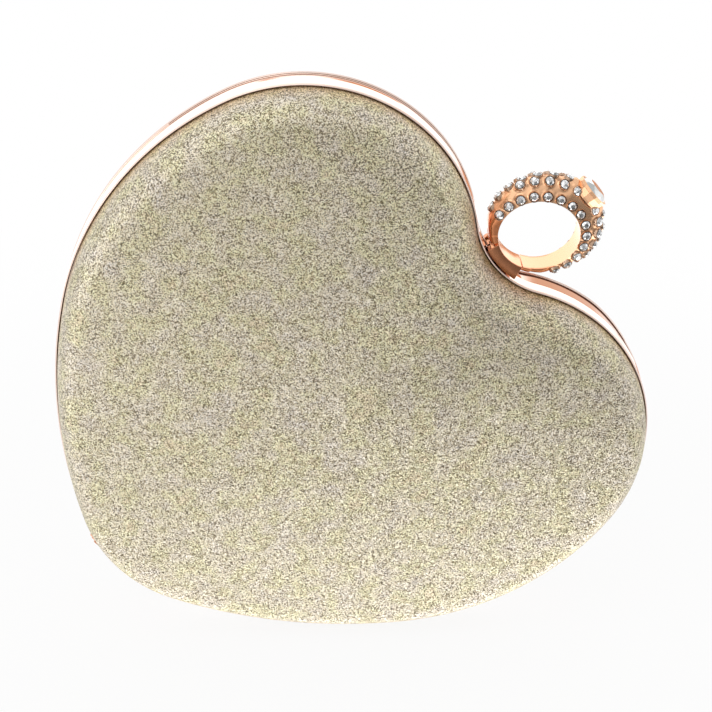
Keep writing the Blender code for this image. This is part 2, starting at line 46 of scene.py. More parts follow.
TIP_RADIUS = 0.0402
CLEFT_RADIUS = 0.0234
WAIST_TO_LOBE = math.radians(15.14)
WAIST_TO_SIDE = math.radians(35.1)
TILT = math.radians(40.75)
HEART_CENTRE = Vector((0.0039832, 0, 0.0829491))

# Frames: each band has a sloping face, a groove, a lip bead at its front and a ledge inside.
# Depths are measured from the parting plane, and a TURN is the radius of a corner.
LIP_W = 0.004325
PARTING_GAP = 0.00004
BAND_WALL = 0.0008
BAND_BARREL = 0.00006
FRONT_DRAFT = math.tan(math.radians(3.5))
REAR_DRAFT = math.tan(math.radians(6.0))
LIP_WIDTH = 0.00075
LIP_FACE = 0.00038
LIP_PROUD = 0.00008
REAR_LIP_PROUD = 0.00050
GROOVE = 0.00026
LEDGE_REACH = 0.0032
LEDGE_HEIGHT = 0.0020
LEDGE_WALL = 0.0008
LIP_BACK = 0.0007
LIP_ROOT = 0.0011
LIP_STEP = 0.00024
LIP_BEVEL = 0.00028
REAR_BEVEL = 0.00016
INNER_LIMIT = 0.0001 - BAND_WALL
FACE_STEPS = 8
LIP_TURN = 0.00006
BEVEL_TURN = 0.00008
LIP_BACK_TURN = 0.00004
LEDGE_TURN = 0.0002
GAP_TURN = 0.0001
BAND_STEP = 0.0012
BEVEL_MARGIN = 0.0001
SEAT_GAP = 0.0003

# The band's section is counted in points: these rows of faces have a finish of their own, and the
# groove's is a painted shade
GROOVE_START_X = -0.047
GROOVE_FACES = range(8, 16)
RAMP_FACES = range(16, 24)

# The rear band swells to the right of the clasp. Only the outside of its section moves.
SWELL = 0.0009
SWELL_POINTS = 29
SWELL_LOWEST_Z = 0.085
SWELL_START_X = 0.042
SWELL_END_X = 0.0775
SWELL_RUN = 0.0060
SWELL_TAPER = 0.0150

# Puffed covers, shells and linings: a round shoulder, then a shallow crown
SHOULDER_RUN = 0.0070
SHOULDER_RISE = 0.0115
SHOULDER_TURN = math.radians(84)
SHOULDER_STEPS = 12
CROWN_RISE = 0.0055
CROWN_STEPS = 16
CROWN_CENTRE_U = -0.0100
HIDDEN_STEPS = (6, 8)
PUFF_STEP = 0.0022
COVER_INSET = 0.00095
COVER_WALL = 0.0006
COVER_FOOT = LEDGE_HEIGHT + LEDGE_WALL + SEAT_GAP
REAR_LEAN = 0.0026
SHELL_GAP = 0.00015
SHELL_WALL = 0.0005
LINING_WALL = 0.0008
LINING_INSET = 0.0037
LINING_DROP = 0.0024
FLANGE_WALL = 0.0004
TRAY_STEP = 0.004

# The fabric's painted bounce light from the floor, a warm tan from its rim, climbs higher up the
# shoulder where the outline faces down
RIM_CLIMB = 0.925
RIM_STEPS = 3.2
RIM_START = 1.2

# Slip pocket on the rear lining
POCKET_CLOTH = 0.0004
POCKET_TOP_U = 0.0100
POCKET_BOTTOM_U = -0.0305
POCKET_HALF = 0.0380
POCKET_GAPE = 0.0022
POCKET_SLACK = 0.0006
POCKET_FOLD = 0.00022
FOLD_RATE = 31
FOLD_SWAY, FOLD_SWAY_RATE = 1.7, 5
FOLD_AT_FOOT = 0.35
POCKET_HEM = 0.0007
HEM_START = 0.93
SIDE_SEAM = 0.10
BOTTOM_SEAM = 0.14
POCKET_ROWS, POCKET_COLUMNS = 36, 60

# Notch for the hinge at the tip
NOTCH_HALF = 0.0092
NOTCH_DEPTH = 0.0011
NOTCH_W = 0.0017
NOTCH_SLACK = 0.0012
NOTCH_SLOPE = 0.01

# Finger ring
RING_BORE = 0.01012
RING_OUTER = 0.0140
RING_OFFSET = 0.0022
RING_HALF_WIDTH = 0.0036
CROWN_EXTRA_WIDTH = 0.0006
RING_END = math.radians(151.3)
RING_CENTRE_U = 0.0576277
RING_UPPER_WALL = 0.0008
RING_WIDER = 0.053
RING_LOWER = 0.051
RING_STATIONS, RING_ACROSS, RING_BORE_STEPS = 260, 44, 8
LEG_START = math.radians(112)
LEG_RUN = math.radians(14)
LEG_SQUARENESS = 0.6
# Where the legs get their painted darker reflection
LEG_REFLECTION_START = math.radians(104)
LEG_REFLECTION_RUN = math.radians(10)
CROWN_PAD = math.radians(18)
CROWN_PAD_END = math.radians(25)
HOLLOW_DEPTH = 0.00026
HOLLOW_START = 0.00138
HOLLOW_RUN = 0.0005
CREVICE_END = 0.0022
HOLLOW_EDGE = 0.25
HOLLOW_END = math.radians(118)
HOLLOW_FADE = 0.12
LEG_COLLAR = 0.00026
LEG_COLLAR_DEGREES = 146
LEG_COLLAR_POINT = 7
LEG_COLLAR_RUN = 0.02

# Saddle of the ring, and its apron in front of the catch plate
SADDLE_RADIUS = 0.0222
SADDLE_HALF = 0.0053
SADDLE_SPAN = math.radians(27)
SADDLE_FRONT = 0.0040
SADDLE_REAR = 0.0036
SADDLE_BEVEL = 0.00025
SADDLE_STEPS = 24
APRON_HALF = SADDLE_HALF + 0.0002
APRON_RADIUS = SADDLE_RADIUS + 0.0009

# Pivot behind the saddle
PIVOT_U = 0.0450077
PIVOT_W = -0.005825
PIVOT_KNUCKLE = 0.0012
PIVOT_BORE = 0.00075
ARM_NEAR = 0.0029
ARM_FAR = 0.0043
ARM_RISE = 0.0002
ARM_WALL = 0.0010
ARM_START_W = 0.0004 - SADDLE_REAR
EYE_BEVEL = 0.0001
EYE_SIDES = 32

# Stones
FACE_ROW_COUNT = 14
FACE_ROW_HALF_SPAN = math.radians(108)
FACE_ROW_RISE = 0.00145
CROWN_ROW_COUNT = 7
CROWN_SIDE_COUNT = 5
CROWN_SIDE_START = math.radians(14)
CROWN_SIDE_STEP = math.radians(13.8)
CROWN_ROW_START = math.radians(24)
CROWN_ROW_END = math.radians(108)
CROWN_SIDE_SHARE = 0.84
STRIP_START = math.radians(45)
STRIP_END = math.radians(20)
STRIP_FIRST = math.radians(21.614)
STRIP_LAST = math.radians(108.07)
STONE_RADIUS = 0.00114
STONE_TABLE_RADIUS = 0.00062
STONE_LOW = 0.00040
STONE_HIGH = 0.00092
STONE_SIDES = 8
CUP_BORE = 0.00130
CUP_RADIUS = 0.00142
CUP_HEIGHT = 0.00036
CUP_FOOT = -0.0004
CUP_FLARE = 0.00012
CUP_BEVEL = 0.00005
CUP_EDGE = 0.00002
CUP_SIDES = 20
# Dark disc under each stone: a painted shade in its cup
SHADE_DISC_RADIUS = CUP_BORE + 0.00005
SHADE_DISC_HOLE = 0.00001
SHADE_DISC_TOP = 0.00012
SHADE_DISC_FOOT = -0.0003
TURN_DRAWN = 6.28
# Seeds for the stones' turns and for every facet's painted reflection grey
STONE_DRAWS, CRYSTAL_DRAWS = 7, 23

# Facets of a cut stone, as shares of its size
FACET_SPREAD = 0.52
FACET_RISE = 0.55
PAVILION_SHARE = 0.75
PAVILION_DEPTH = 0.8
FACET_POWER = 0.6

# Collar on the crown and the big crystal in it
COLLAR_RADIUS = 0.00473
COLLAR_WALL = 0.00040
COLLAR_RISE = 0.00095
COLLAR_SKIRT = 0.0021
COLLAR_BEVEL = 0.0001
COLLAR_TAPER = 0.0005
COLLAR_BAND = 0.0008
COLLAR_EDGE = 0.00008
COLLAR_SIDES = 14
CRYSTAL_TABLE_RADIUS = 0.0026
CRYSTAL_CROWN = 0.0011
CRYSTAL_GAP = 0.00016
CRYSTAL_SINK = 0.0003
# The crystal's painted facet reflections are no darker than this
CRYSTAL_DIMMEST = 0.45

# Finishes: a scale is the number of features in a metre
FLAKE_SCALE = 4300.0
FLAKE_LEAN = 0.52
FLAKE_SHADES = [(0.0, (0.04, 0.03, 0.015)), (0.22, (0.20, 0.165, 0.10)), (0.45, (0.59, 0.52, 0.39)),
                (0.62, (0.84, 0.78, 0.63)), (1.0, (1.0, 0.97, 0.88))]
PATCH_SCALE = 170.0
PATCH_TINTS = [(0.30, (0.96, 0.93, 0.96)), (0.42, (1.0, 0.965, 0.93)), (0.52, (1.0, 0.975, 0.88)),
               (0.60, (0.98, 0.98, 0.80)), (0.70, (1.0, 0.93, 0.80))]
# Painted bounce light from the floor, a warm tan on the fabric's lower shoulder
FLOOR_BOUNCE_TINT = (0.90, 0.74, 0.56)
HAZE_SCALE = 260.0
RUB_SCALE = 38.0
# Spots of the painted shade in the ring's hollows
HOLLOW_SHADE_SCALE = 520.0
POLISH_SCALE = 900.0
POLISH_DEPTH = 0.000004
# Painted reflection: the darker, redder plate where the rear band swells
PAINTED_REFLECTION_TINT = (0.42, 0.19, 0.10)
# Painted reflection: the legs' deeper orange
LEG_REFLECTION_TINT = (0.74, 0.28, 0.12)
# Painted shade in the hollows between the stones
HOLLOW_SHADE_TINT = (0.13, 0.06, 0.035)
CLOUD_SCALE = 1500.0
WARP_RATE, WEFT_RATE = 14000.0, 16000.0
SLUB_SCALE = 420.0
SATIN_DARK, SATIN_BRIGHT = (0.60, 0.50, 0.37), (0.74, 0.65, 0.51)
SOFT_FOLD_SCALE = 34.0
SOFT_FOLD_HEIGHT = 16.0
WEAVE_DEPTH = 0.00003
GRAIN_SCALE = 1800.0
GRAIN_DEPTH = 0.00003
PLASTIC_DARK, PLASTIC_BRIGHT = (0.16, 0.145, 0.13), (0.22, 0.20, 0.18)

# Studio: levels of the walls, and where each begins and ends. TURN and RISE are in degrees, from
# the back wall to the right and from level upwards. EDGE is along one axis of the direction.
MIDDLE = (0, 0, 0.08)
SKY_SHARE = 0.84
BACK_LEVEL = 1.65
BEHIND_LEVEL = 0.95
FRONT_LEVEL = 0.17
LEFT_LEVEL = 1.15
RIGHT_LEVEL = 1.3
UP_LEVEL = 0.84
UP_LEFT_LEVEL = 1.2
LOW_LEVEL = 3.2
LOW_RIGHT_LEVEL = 5.2
LOW_FAR_DIMMING = 0.62
RIGHT_FLOOR_DIMMING = 0.4
WARM_CARD = (0.72, 0.33, 0.18)
CARD_TURN, CARD_RISE = (-9, -6, 23, 25), (-6, -3, 5, 7)
TALL_CARD_TURN, TALL_CARD_RISE = (15.5, 16.5, 22.5, 24), (-29, -25, 5, 7)
BACK_TURN, BACK_RISE = (-44, -32, 38, 48), (-42, -30, 30, 42)
RIGHT_FLOOR_TURN, RIGHT_FLOOR_RISE = (8, 16), (-12, -5)
LOW_RISE = (-70, -26)
UP_RISE = (-5, 40)
FRONT_EDGE = (-0.1, 0.35)
LEFT_EDGE = (-0.35, 0.75)
UP_LEFT_EDGE = (-0.1, 0.5)
RIGHT_EDGE = (0.80, 0.97)
LOW_RIGHT_EDGE = (0.0, 0.5)
LOW_FAR_EDGE = (-0.05, 0.45)
FLOOR_SIZE = 6.0
FLOOR_WHITE = (0.88, 0.88, 0.88)
FLOOR_SHADOW_END = (0.12, 0.30)
FLOOR_GLOW = 0.91

# The photograph's view
CAMERA_LENS = 84.3235
CAMERA_SENSOR = 36.0
CAMERA_PLACE = (-0.010015, -0.392962, 0.303181)
CAMERA_TARGET = Vector((0.000472, 0, 0.083568))


def heart_arcs():
    """Each arc's centre, radius, first and last angle, and 1 where it bulges outwards."""
    waist = Vector((0, HALF_WIDTH - WAIST_RADIUS))
    reach = WAIST_RADIUS - LOBE_RADIUS
    lobe = waist + reach * Vector((math.sin(WAIST_TO_LOBE), math.cos(WAIST_TO_LOBE)))
    reach = SIDE_RADIUS - WAIST_RADIUS
    side = waist + reach * Vector((math.sin(WAIST_TO_SIDE), -math.cos(WAIST_TO_SIDE)))
    tip = Vector((side[0] - math.sqrt((SIDE_RADIUS - TIP_RADIUS) ** 2 - side[1] ** 2), 0))
    cleft = Vector((lobe[0] + math.sqrt((LOBE_RADIUS + CLEFT_RADIUS) ** 2 - lobe[1] ** 2), 0))
    tip_end = math.atan2(-side[1], tip[0] - side[0])
    lobe_end = math.atan2(-lobe[1], cleft[0] - lobe[0])
    side_end = math.pi / 2 + WAIST_TO_SIDE
    lobe_start = math.pi / 2 - WAIST_TO_LOBE
    return [(tip, TIP_RADIUS, math.pi, tip_end, 1),
            (side, SIDE_RADIUS, tip_end, side_end, 1),
            (waist, WAIST_RADIUS, side_end, lobe_start, 1),
            (lobe, LOBE_RADIUS, lobe_start, lobe_end, 1),
            (cleft, CLEFT_RADIUS, lobe_end + math.pi, math.pi, -1)]


ARCS = heart_arcs()
TIP_U = ARCS[0][0][0] - TIP_RADIUS
CLEFT_CENTRE = ARCS[4][0]


def held(value):
    """The value, kept between 0 and 1."""
    return min(1, max(0, value))


def outline(step):
    """Points round the heart about a step apart, each with the way out there."""
    half = []
    for centre, radius, first, last, bulge in ARCS:
        count = round(abs(last - first) * radius / step)
        for i in range(count):
            angle = first + (last - first) * i / count
            away = Vector((math.cos(angle), math.sin(angle)))
            half.append((centre + away * radius, away * bulge))
    mirrored = [(Vector((p[0], -p[1])), Vector((n[0], -n[1]))) for p, n in reversed(half[1:])]
    bottom = (CLEFT_CENTRE - Vector((CLEFT_RADIUS, 0)), Vector((1, 0)))
    return half + [bottom] + mirrored


def placed(u, v, w):
    """A point of the heart's own axes in the row frame."""
    return HEART_CENTRE + Vector((u * math.cos(TILT) - v * math.sin(TILT), -w,
                                  u * math.sin(TILT) + v * math.cos(TILT)))


def ring_at(points, out, w, rest=1.0):
    """The outline moved outwards by out, at depth w, and flattened where it rests on the ground.

    Rest says how much it is flattened, from 0 to 1."""
    ring = []
    for point, normal in points:
        moved = point + normal * out
        place = placed(moved[0], moved[1], w)
        sink = -out - place[2]
        if sink > 0 and rest > 0:
            place[2] += sink * rest
        ring.append(place)
    return ring


def in_scene(name, data):
    """A new object with this mesh, lamp or camera."""
    item = bpy.data.objects.new(name, data)
    bpy.context.scene.collection.objects.link(item)
    return item


def new_piece(name, bm, finish, body, slot, *nodes, smooth=True, sharp=60):
    """Makes a piece from a bmesh in the row frame, rides it on a body and stands it for CAD nodes."""
    mesh = bpy.data.meshes.new(name)
    bmesh.ops.recalc_face_normals(bm, faces=bm.faces)
    bm.to_mesh(mesh)
    bm.free()
    if smooth:
        mesh.shade_smooth()
        mesh.set_sharp_from_angle(angle=math.radians(sharp))
    piece = in_scene(name, mesh)
    piece.data.materials.append(finish)
    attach(piece, body)
    if nodes:
        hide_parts(*nodes)
    return piece


def loft(bm, rings, closed=False, caps=False):
    """Joins rings of points with faces, and gives their vertices. A ring of one point ends a fan."""
    rows = [[bm.verts.new(p) for p in ring] for ring in rings]
    pairs = list(zip(rows, rows[1:] + rows[:1])) if closed else list(zip(rows, rows[1:]))
    for near, far in pairs:
        count = max(len(near), len(far))
        for i in range(count):
            j = (i + 1) % count
            if len(near) == 1:
                bm.faces.new((near[0], far[j], far[i]))
            elif len(far) == 1:
                bm.faces.new((near[i], near[j], far[0]))
            else:
                bm.faces.new((near[i], near[j], far[j], far[i]))
    if caps:
        bm.faces.new(rows[0])
        bm.faces.new(rows[-1])
    return rows


class Wire:
    """A socket's value. Arithmetic on it adds Math nodes."""

    def __init__(self, nodes, socket):
        self.nodes = nodes
        self.socket = socket

    def __add__(self, other):
        return self.nodes.maths("ADD", self, other)

    def __sub__(self, other):
        return self.nodes.maths("SUBTRACT", self, other)

    def __rsub__(self, other):
        return self.nodes.maths("SUBTRACT", other, self)

    def __mul__(self, other):
        return self.nodes.maths("MULTIPLY", self, other)

    __radd__ = __add__


class Nodes:
    """The nodes of one material, or of the surroundings."""

    def __init__(self, tree):
        self.tree = tree

    def node(self, kind, settings, values):
        """Adds a node: first its settings, then what its sockets hold. Gives its outputs by name."""
        made = self.tree.nodes.new(kind)
        for name, setting in settings.items():
            if name == "stops":
                self.stops(made.color_ramp, setting)
            else:
                setattr(made, name, setting)
        self.fill(made, values)
        return {s.name: Wire(self, s) for s in made.outputs if s.enabled}

    def stops(self, ramp, stops):
        """Sets a ramp's places and colours."""
        while len(ramp.elements) < len(stops):
            ramp.elements.new(0.5)
        for element, (place, colour) in zip(ramp.elements, stops):
            element.position = place
            element.color = (*colour, 1)

    def fill(self, made, values):
        """Sets or links sockets, by name or by number."""
        named = {s.name: s for s in reversed(made.inputs) if s.enabled}
        for key, value in values.items():
            socket = made.inputs[key] if isinstance(key, int) else named[key]
            if isinstance(value, Wire):
                self.tree.links.new(value.socket, socket)
            elif isinstance(value, tuple) and socket.type == "RGBA":
                socket.default_value = (*value, 1)
            else:
                socket.default_value = value

    def maths(self, operation, *values):
        return self.node("ShaderNodeMath", {"operation": operation},
                         dict(enumerate(values)))["Value"]

    def smooth(self, value, low, high):
        """Turns smoothly from 0 to 1 as the value goes from low to high."""
        return self.node("ShaderNodeMapRange", {"interpolation_type": "SMOOTHSTEP"},
                         {"Value": value, "From Min": low, "From Max": high})["Result"]

    def grey(self, value):
        return self.node("ShaderNodeCombineColor", {},
                         {"Red": value, "Green": value, "Blue": value})["Color"]

    def blend(self, share, a, b, how="MIX"):
        return self.node("ShaderNodeMix", {"data_type": "RGBA", "blend_type": how},
                         {"Factor": share, "A": a, "B": b})["Result"]

    def ramp(self, value, stops):
        return self.node("ShaderNodeValToRGB", {"stops": stops}, {"Fac": value})["Color"]

    def attribute(self, name):
        """A measure that the mesh holds at its vertices or on its faces."""
        return self.node("ShaderNodeAttribute", {"attribute_name": name}, {})["Fac"]

    def place(self):
        return self.node("ShaderNodeTexCoord", {}, {})["Object"]

    def noise(self, scale, detail=3.0):
        return self.node("ShaderNodeTexNoise", {},
                         {"Vector": self.place(), "Scale": scale,
                          "Detail": detail})["Fac"]

    def bump(self, height, distance, strength=1.0):
        return self.node("ShaderNodeBump", {}, {"Height": height, "Distance": distance,
                                                "Strength": strength})["Normal"]


def new_finish(name, values):
    """A material with one Principled shader, and its nodes."""
    material = bpy.data.materials.new(name)
    material.use_nodes = True
    nodes = Nodes(material.node_tree)
    shader = material.node_tree.nodes["Principled BSDF"]
    nodes.fill(shader, values)
    return material, nodes, shader


def glitter():
    """Glitter fabric: flakes of silver, pale gold and dark olive that each face their own way."""
    material, nodes, shader = new_finish("champagne_glitter", {"IOR": 1.45})
    cells = nodes.node("ShaderNodeTexVoronoi", {}, {"Vector": nodes.place(), "Scale": FLAKE_SCALE})
    parts = nodes.node("ShaderNodeSeparateColor", {}, {"Color": cells["Color"]})
    flake = nodes.ramp(parts["Red"], FLAKE_SHADES)
    tint = nodes.ramp(nodes.noise(PATCH_SCALE, 4.0), PATCH_TINTS)
    colour = nodes.blend(1.0, flake, tint, "MULTIPLY")
    # Painted bounce light from the floor, warm tan up the shoulder
    colour = nodes.blend(nodes.attribute("rim"), colour, FLOOR_BOUNCE_TINT, "MULTIPLY")
    tilt = nodes.node("ShaderNodeVectorMath", {"operation": "MULTIPLY_ADD"},
                      {0: cells["Color"], 1: (FLAKE_LEAN,) * 3, 2: (-FLAKE_LEAN / 2,) * 3})["Vector"]
    surface = nodes.node("ShaderNodeNewGeometry", {}, {})["Normal"]
    leaning = nodes.node("ShaderNodeVectorMath", {"operation": "ADD"}, {0: surface, 1: tilt})["Vector"]
    facing = nodes.node("ShaderNodeVectorMath", {"operation": "NORMALIZE"}, {0: leaning})["Vector"]
    nodes.fill(shader, {"Base Color": colour, "Normal": facing,
                        "Roughness": 0.36 + parts["Green"] * 0.20,
                        "Metallic": 0.35 + parts["Blue"] * 0.30})
    return material


def rose_gold(name, colour, shine, wear, crevices=False, metal=1.0, copper=False):
    """Polished plate: a faint polishing haze, a little darker where it has been rubbed.

    Crevices add a painted darker reflection on the legs and a painted shade, in spots, in the hollows
    between the stones; copper adds a painted darker reflection where the rear band swells."""
    material, nodes, shader = new_finish(name, {"Metallic": metal})
    haze = nodes.noise(HAZE_SCALE, 4.0)
    rub = nodes.noise(RUB_SCALE, 3.0)
    deeper = tuple(c * (1 - wear) for c in colour)
    plate = nodes.blend(nodes.smooth(rub, 0.45, 0.75), colour, deeper)
    # A painted darker reflection on the swollen rear band
    if copper:
        plate = nodes.blend(nodes.attribute("copper"), plate, PAINTED_REFLECTION_TINT)
    if crevices:
        # Painted shade, in spots, in the hollows between the stones
        hollow_shade = nodes.smooth(nodes.noise(HOLLOW_SHADE_SCALE, 2.0), 0.50, 0.62) * nodes.attribute("crevice")
        # A painted darker reflection on the legs
        plate = nodes.blend(nodes.attribute("leg"), plate, LEG_REFLECTION_TINT)
        plate = nodes.blend(hollow_shade, plate, HOLLOW_SHADE_TINT)
    nodes.fill(shader, {"Base Color": plate,
                        "Roughness": shine + haze * 0.06,
                        "Normal": nodes.bump(nodes.noise(POLISH_SCALE, 2.0), POLISH_DEPTH)})
    return material


def stone_glass(name, dark, bright):
    """Cut stones over dark discs: every facet has its own grey, from an attribute on the mesh, a
    painted reflection.
    """
    material, nodes, shader = new_finish(name, {"Metallic": 0.85, "Coat Roughness": 0.02,
                                                "IOR": 1.55})
    cloud = nodes.noise(CLOUD_SCALE, 2.0)
    nodes.fill(shader, {"Base Color": nodes.blend(nodes.attribute("facet"), dark, bright),
                        "Roughness": 0.05 + cloud * 0.05,
                        "Coat Weight": 0.6})
    return material


def satin():
    """Lining satin: fine warp and weft, uneven threads, and soft folds."""
    material, nodes, shader = new_finish("lining_satin", {"Sheen Weight": 0.25,
                                                          "Sheen Roughness": 0.4})
    parts = nodes.node("ShaderNodeSeparateXYZ", {}, {"Vector": nodes.place()})
    warp = nodes.maths("SINE", (parts["X"] + parts["Z"]) * WARP_RATE)
    weft = nodes.maths("SINE", (parts["X"] - parts["Z"]) * WEFT_RATE)
    height = warp * 0.3 + weft * 0.2 + nodes.noise(SOFT_FOLD_SCALE, 2.0) * SOFT_FOLD_HEIGHT
    slub = nodes.noise(SLUB_SCALE, 3.0)
    nodes.fill(shader, {"Base Color": nodes.blend(slub, SATIN_DARK, SATIN_BRIGHT),
                        "Roughness": 0.38 + slub * 0.12,
                        "Normal": nodes.bump(height, WEAVE_DEPTH, 0.6)})
    return material


def plastic():
    """Moulded shell: a fine matt grain."""
    material, nodes, shader = new_finish("shell_plastic", {})
    grain = nodes.noise(GRAIN_SCALE, 2.0)
    nodes.fill(shader, {"Base Color": nodes.blend(grain, PLASTIC_DARK, PLASTIC_BRIGHT),
                        "Roughness": 0.5 + grain * 0.15,
                        "Normal": nodes.bump(grain, GRAIN_DEPTH)})
    return material


GLITTER = glitter()
FRAME_GOLD = rose_gold("frame_rose_gold", (0.94, 0.73, 0.62), 0.04, 0.04, copper=True)
LIP_GOLD = rose_gold("lip_rose_gold", (0.95, 0.75, 0.66), 0.20, 0.05, metal=0.45)
# Painted shade: dark rose gold for the rear band's groove
GROOVE_SHADE = rose_gold("groove_painted_shade", (0.27, 0.12, 0.075), 0.40, 0.3)
CUP_GOLD = rose_gold("cup_rose_gold", (0.56, 0.38, 0.27), 0.18, 0.3)
RING_GOLD = rose_gold("ring_rose_gold", (0.98, 0.57, 0.33), 0.16, 0.12, crevices=True, metal=0.8)
# Painted shade: the rose gold darkened, for the saddle's apron and the hinge and clasp parts
SHADED_SADDLE_GOLD = rose_gold("saddle_painted_shade", (0.66, 0.28, 0.14), 0.24, 0.2)
# Painted shade: near black for the discs under the stones
STONE_SHADE_DISC = rose_gold("stone_painted_shade", (0.10, 0.08, 0.07), 0.35, 0.3)
# Painted reflections: the facets' greys run from the dark to the bright colour
STONE = stone_glass("clear_stone", (0.14, 0.135, 0.13), (0.96, 0.97, 0.98))
CRYSTAL = stone_glass("crown_crystal_glass", (0.06, 0.08, 0.07), (0.90, 0.92, 0.91))
SATIN = satin()
PLASTIC = plastic()


def rounded(corners, steps=4):
    """A closed outline of (across, along, radius) corners, with each corner turned on its radius."""
    points = []
    for i, (x, y, radius) in enumerate(corners):
        here = Vector((x, y))
        before = Vector(corners[i - 1][:2]) - here
        after = Vector(corners[(i + 1) % len(corners)][:2]) - here
        if radius == 0:
            points.append(here)
            continue
        start = here + before.normalized() * radius
        end = here + after.normalized() * radius
        for k in range(steps + 1):
            t = k / steps
            points.append(start.lerp(here, t).lerp(here.lerp(end, t), t))
    return points


def frame_section(draft, proud, bevel):
    """One half's band, as (out, w) with w positive: face, groove, lip bead, inner wall, ledge.

    Draft is the face's slope, proud how far the lip stands out, and bevel the lip's front edge."""
    def face_out(w):
        return -draft * w - BAND_BARREL * (w / LIP_W) ** 2

    groove = LIP_W - LIP_WIDTH
    start, end = PARTING_GAP / 2, groove - GROOVE / 2
    depths = [start + (end - start) * k / FACE_STEPS for k in range(FACE_STEPS + 1)]
    face = [(face_out(w), w, 0) for w in depths]
    low = face_out(groove)
    lip = low + proud
    inner = max(lip - LIP_FACE, INNER_LIMIT)
    bead = [(low - GROOVE, groove, LIP_TURN),
            (min(lip, low + LIP_STEP), groove + GROOVE / 2, LIP_TURN),
            (lip, LIP_W - bevel, BEVEL_TURN),
            (lip - bevel, LIP_W, LIP_TURN),
            (inner, LIP_W, LIP_BACK_TURN)]
    inside = [(inner, LIP_W - LIP_BACK, LEDGE_TURN),
              (-BAND_WALL, LIP_W - LIP_ROOT, 0),
              (-BAND_WALL, LEDGE_HEIGHT + LEDGE_WALL, 0),
              (-LEDGE_REACH, LEDGE_HEIGHT + LEDGE_WALL, LEDGE_TURN),
              (-LEDGE_REACH, LEDGE_HEIGHT, LEDGE_TURN),
              (-BAND_WALL, LEDGE_HEIGHT, 0),
              (-BAND_WALL, PARTING_GAP / 2, GAP_TURN)]
    return rounded(face + bead + inside)


def swelling(point):
    """How far the rear band swells beside the clasp, from 0 to 1, at a point in the row frame."""
    if point[2] < SWELL_LOWEST_Z:
        return 0.0
    rise = held((point[0] - SWELL_START_X) / SWELL_RUN)
    fall = held((SWELL_END_X - point[0]) / SWELL_TAPER)
    return rise * rise * (3 - 2 * rise) * fall * fall * (3 - 2 * fall)


def heart_frame(name, side, body):
    """The rolled band of one half, notched at the tip for the hinge. Side is 1 for the front.

    The attribute "copper" says how far the rear band swells, and so how much painted darker reflection
    its plate gets. The lip has a finish of its own, and the groove a painted shade."""
    points = outline(BAND_STEP)
    front_shape = (FRONT_DRAFT, LIP_PROUD, LIP_BEVEL)
    rear_shape = (REAR_DRAFT, REAR_LIP_PROUD, REAR_BEVEL)
    section = frame_section(*(front_shape if side > 0 else rear_shape))
    rings, copper = [], []
    for j, (out, w) in enumerate(section):
        ring = ring_at(points, out, side * w)
        # How far the rear band swells, which also sets its painted reflection
        swell = [swelling(place) if side < 0 and j < SWELL_POINTS else 0.0 for place in ring]
        copper += swell
        if any(swell):
            wider = ring_at(points, out + SWELL * w / LIP_W, side * w)
            ring = [a + (b - a) * s for a, b, s in zip(ring, wider, swell)]
        for place, (point, _) in zip(ring, points):
            at_tip = point[0] < TIP_U + NOTCH_DEPTH and abs(point[1]) < NOTCH_HALF + NOTCH_SLACK
            if at_tip and w < NOTCH_W:
                place[1] = -side * (NOTCH_W + w * NOTCH_SLOPE)
        rings.append(ring)
    bm = bmesh.new()
    loft(bm, rings, closed=True)
    layer = bm.verts.layers.float.new("copper")
    for vert, share in zip(bm.verts, copper):
        vert[layer] = share
    bm.faces.ensure_lookup_table()
    for i, face in enumerate(bm.faces):
        row = i // len(points)
        depth = min(section[row][1], section[(row + 1) % len(section)][1])
        if side > 0:
            face.material_index = int(depth > LIP_W - LIP_BEVEL - BEVEL_MARGIN)
        elif row in RAMP_FACES:
            face.material_index = 1
        # A painted shade in the rear groove, on its right part only
        elif row in GROOVE_FACES and face.calc_center_median().x > GROOVE_START_X:
            face.material_index = 2
    piece = new_piece(name, bm, FRAME_GOLD, body, "rose_gold",
                      name.replace("_band", "_frame"), sharp=50)
    piece.data.materials.append(LIP_GOLD)
    piece.data.materials.append(GROOVE_SHADE)


def puff(points, inset, foot, drop, side, shoulder=SHOULDER_STEPS, crown=CROWN_STEPS, lean=0.0):
    """Rings of a puffed surface, from its foot inside the frame to its apex.

    Lean draws the shoulder in further than its own roundness does."""
    rise = SHOULDER_RISE - drop
    rings = [ring_at(points, -inset, side * foot)]
    for k in range(shoulder + 1):
        angle = SHOULDER_TURN * k / shoulder
        out = -inset - SHOULDER_RUN * (1 - math.cos(angle)) - lean * math.sin(angle)
        rest = (1 - k / shoulder) ** 2
        rings.append(ring_at(points, out, side * (LIP_W + rise * math.sin(angle)), rest))
    top = LIP_W + rise * math.sin(SHOULDER_TURN)
    middle = placed(CROWN_CENTRE_U, 0, side * top)
    edge = rings[-1]
    for k in range(1, crown):
        share = 1 - k / crown
        lift = Vector((0, -side * CROWN_RISE * (1 - share ** 2), 0))
        rings.append([middle + (p - middle) * share + lift for p in edge])
    rings.append([placed(CROWN_CENTRE_U, 0, side * (top + CROWN_RISE))])
    return rings


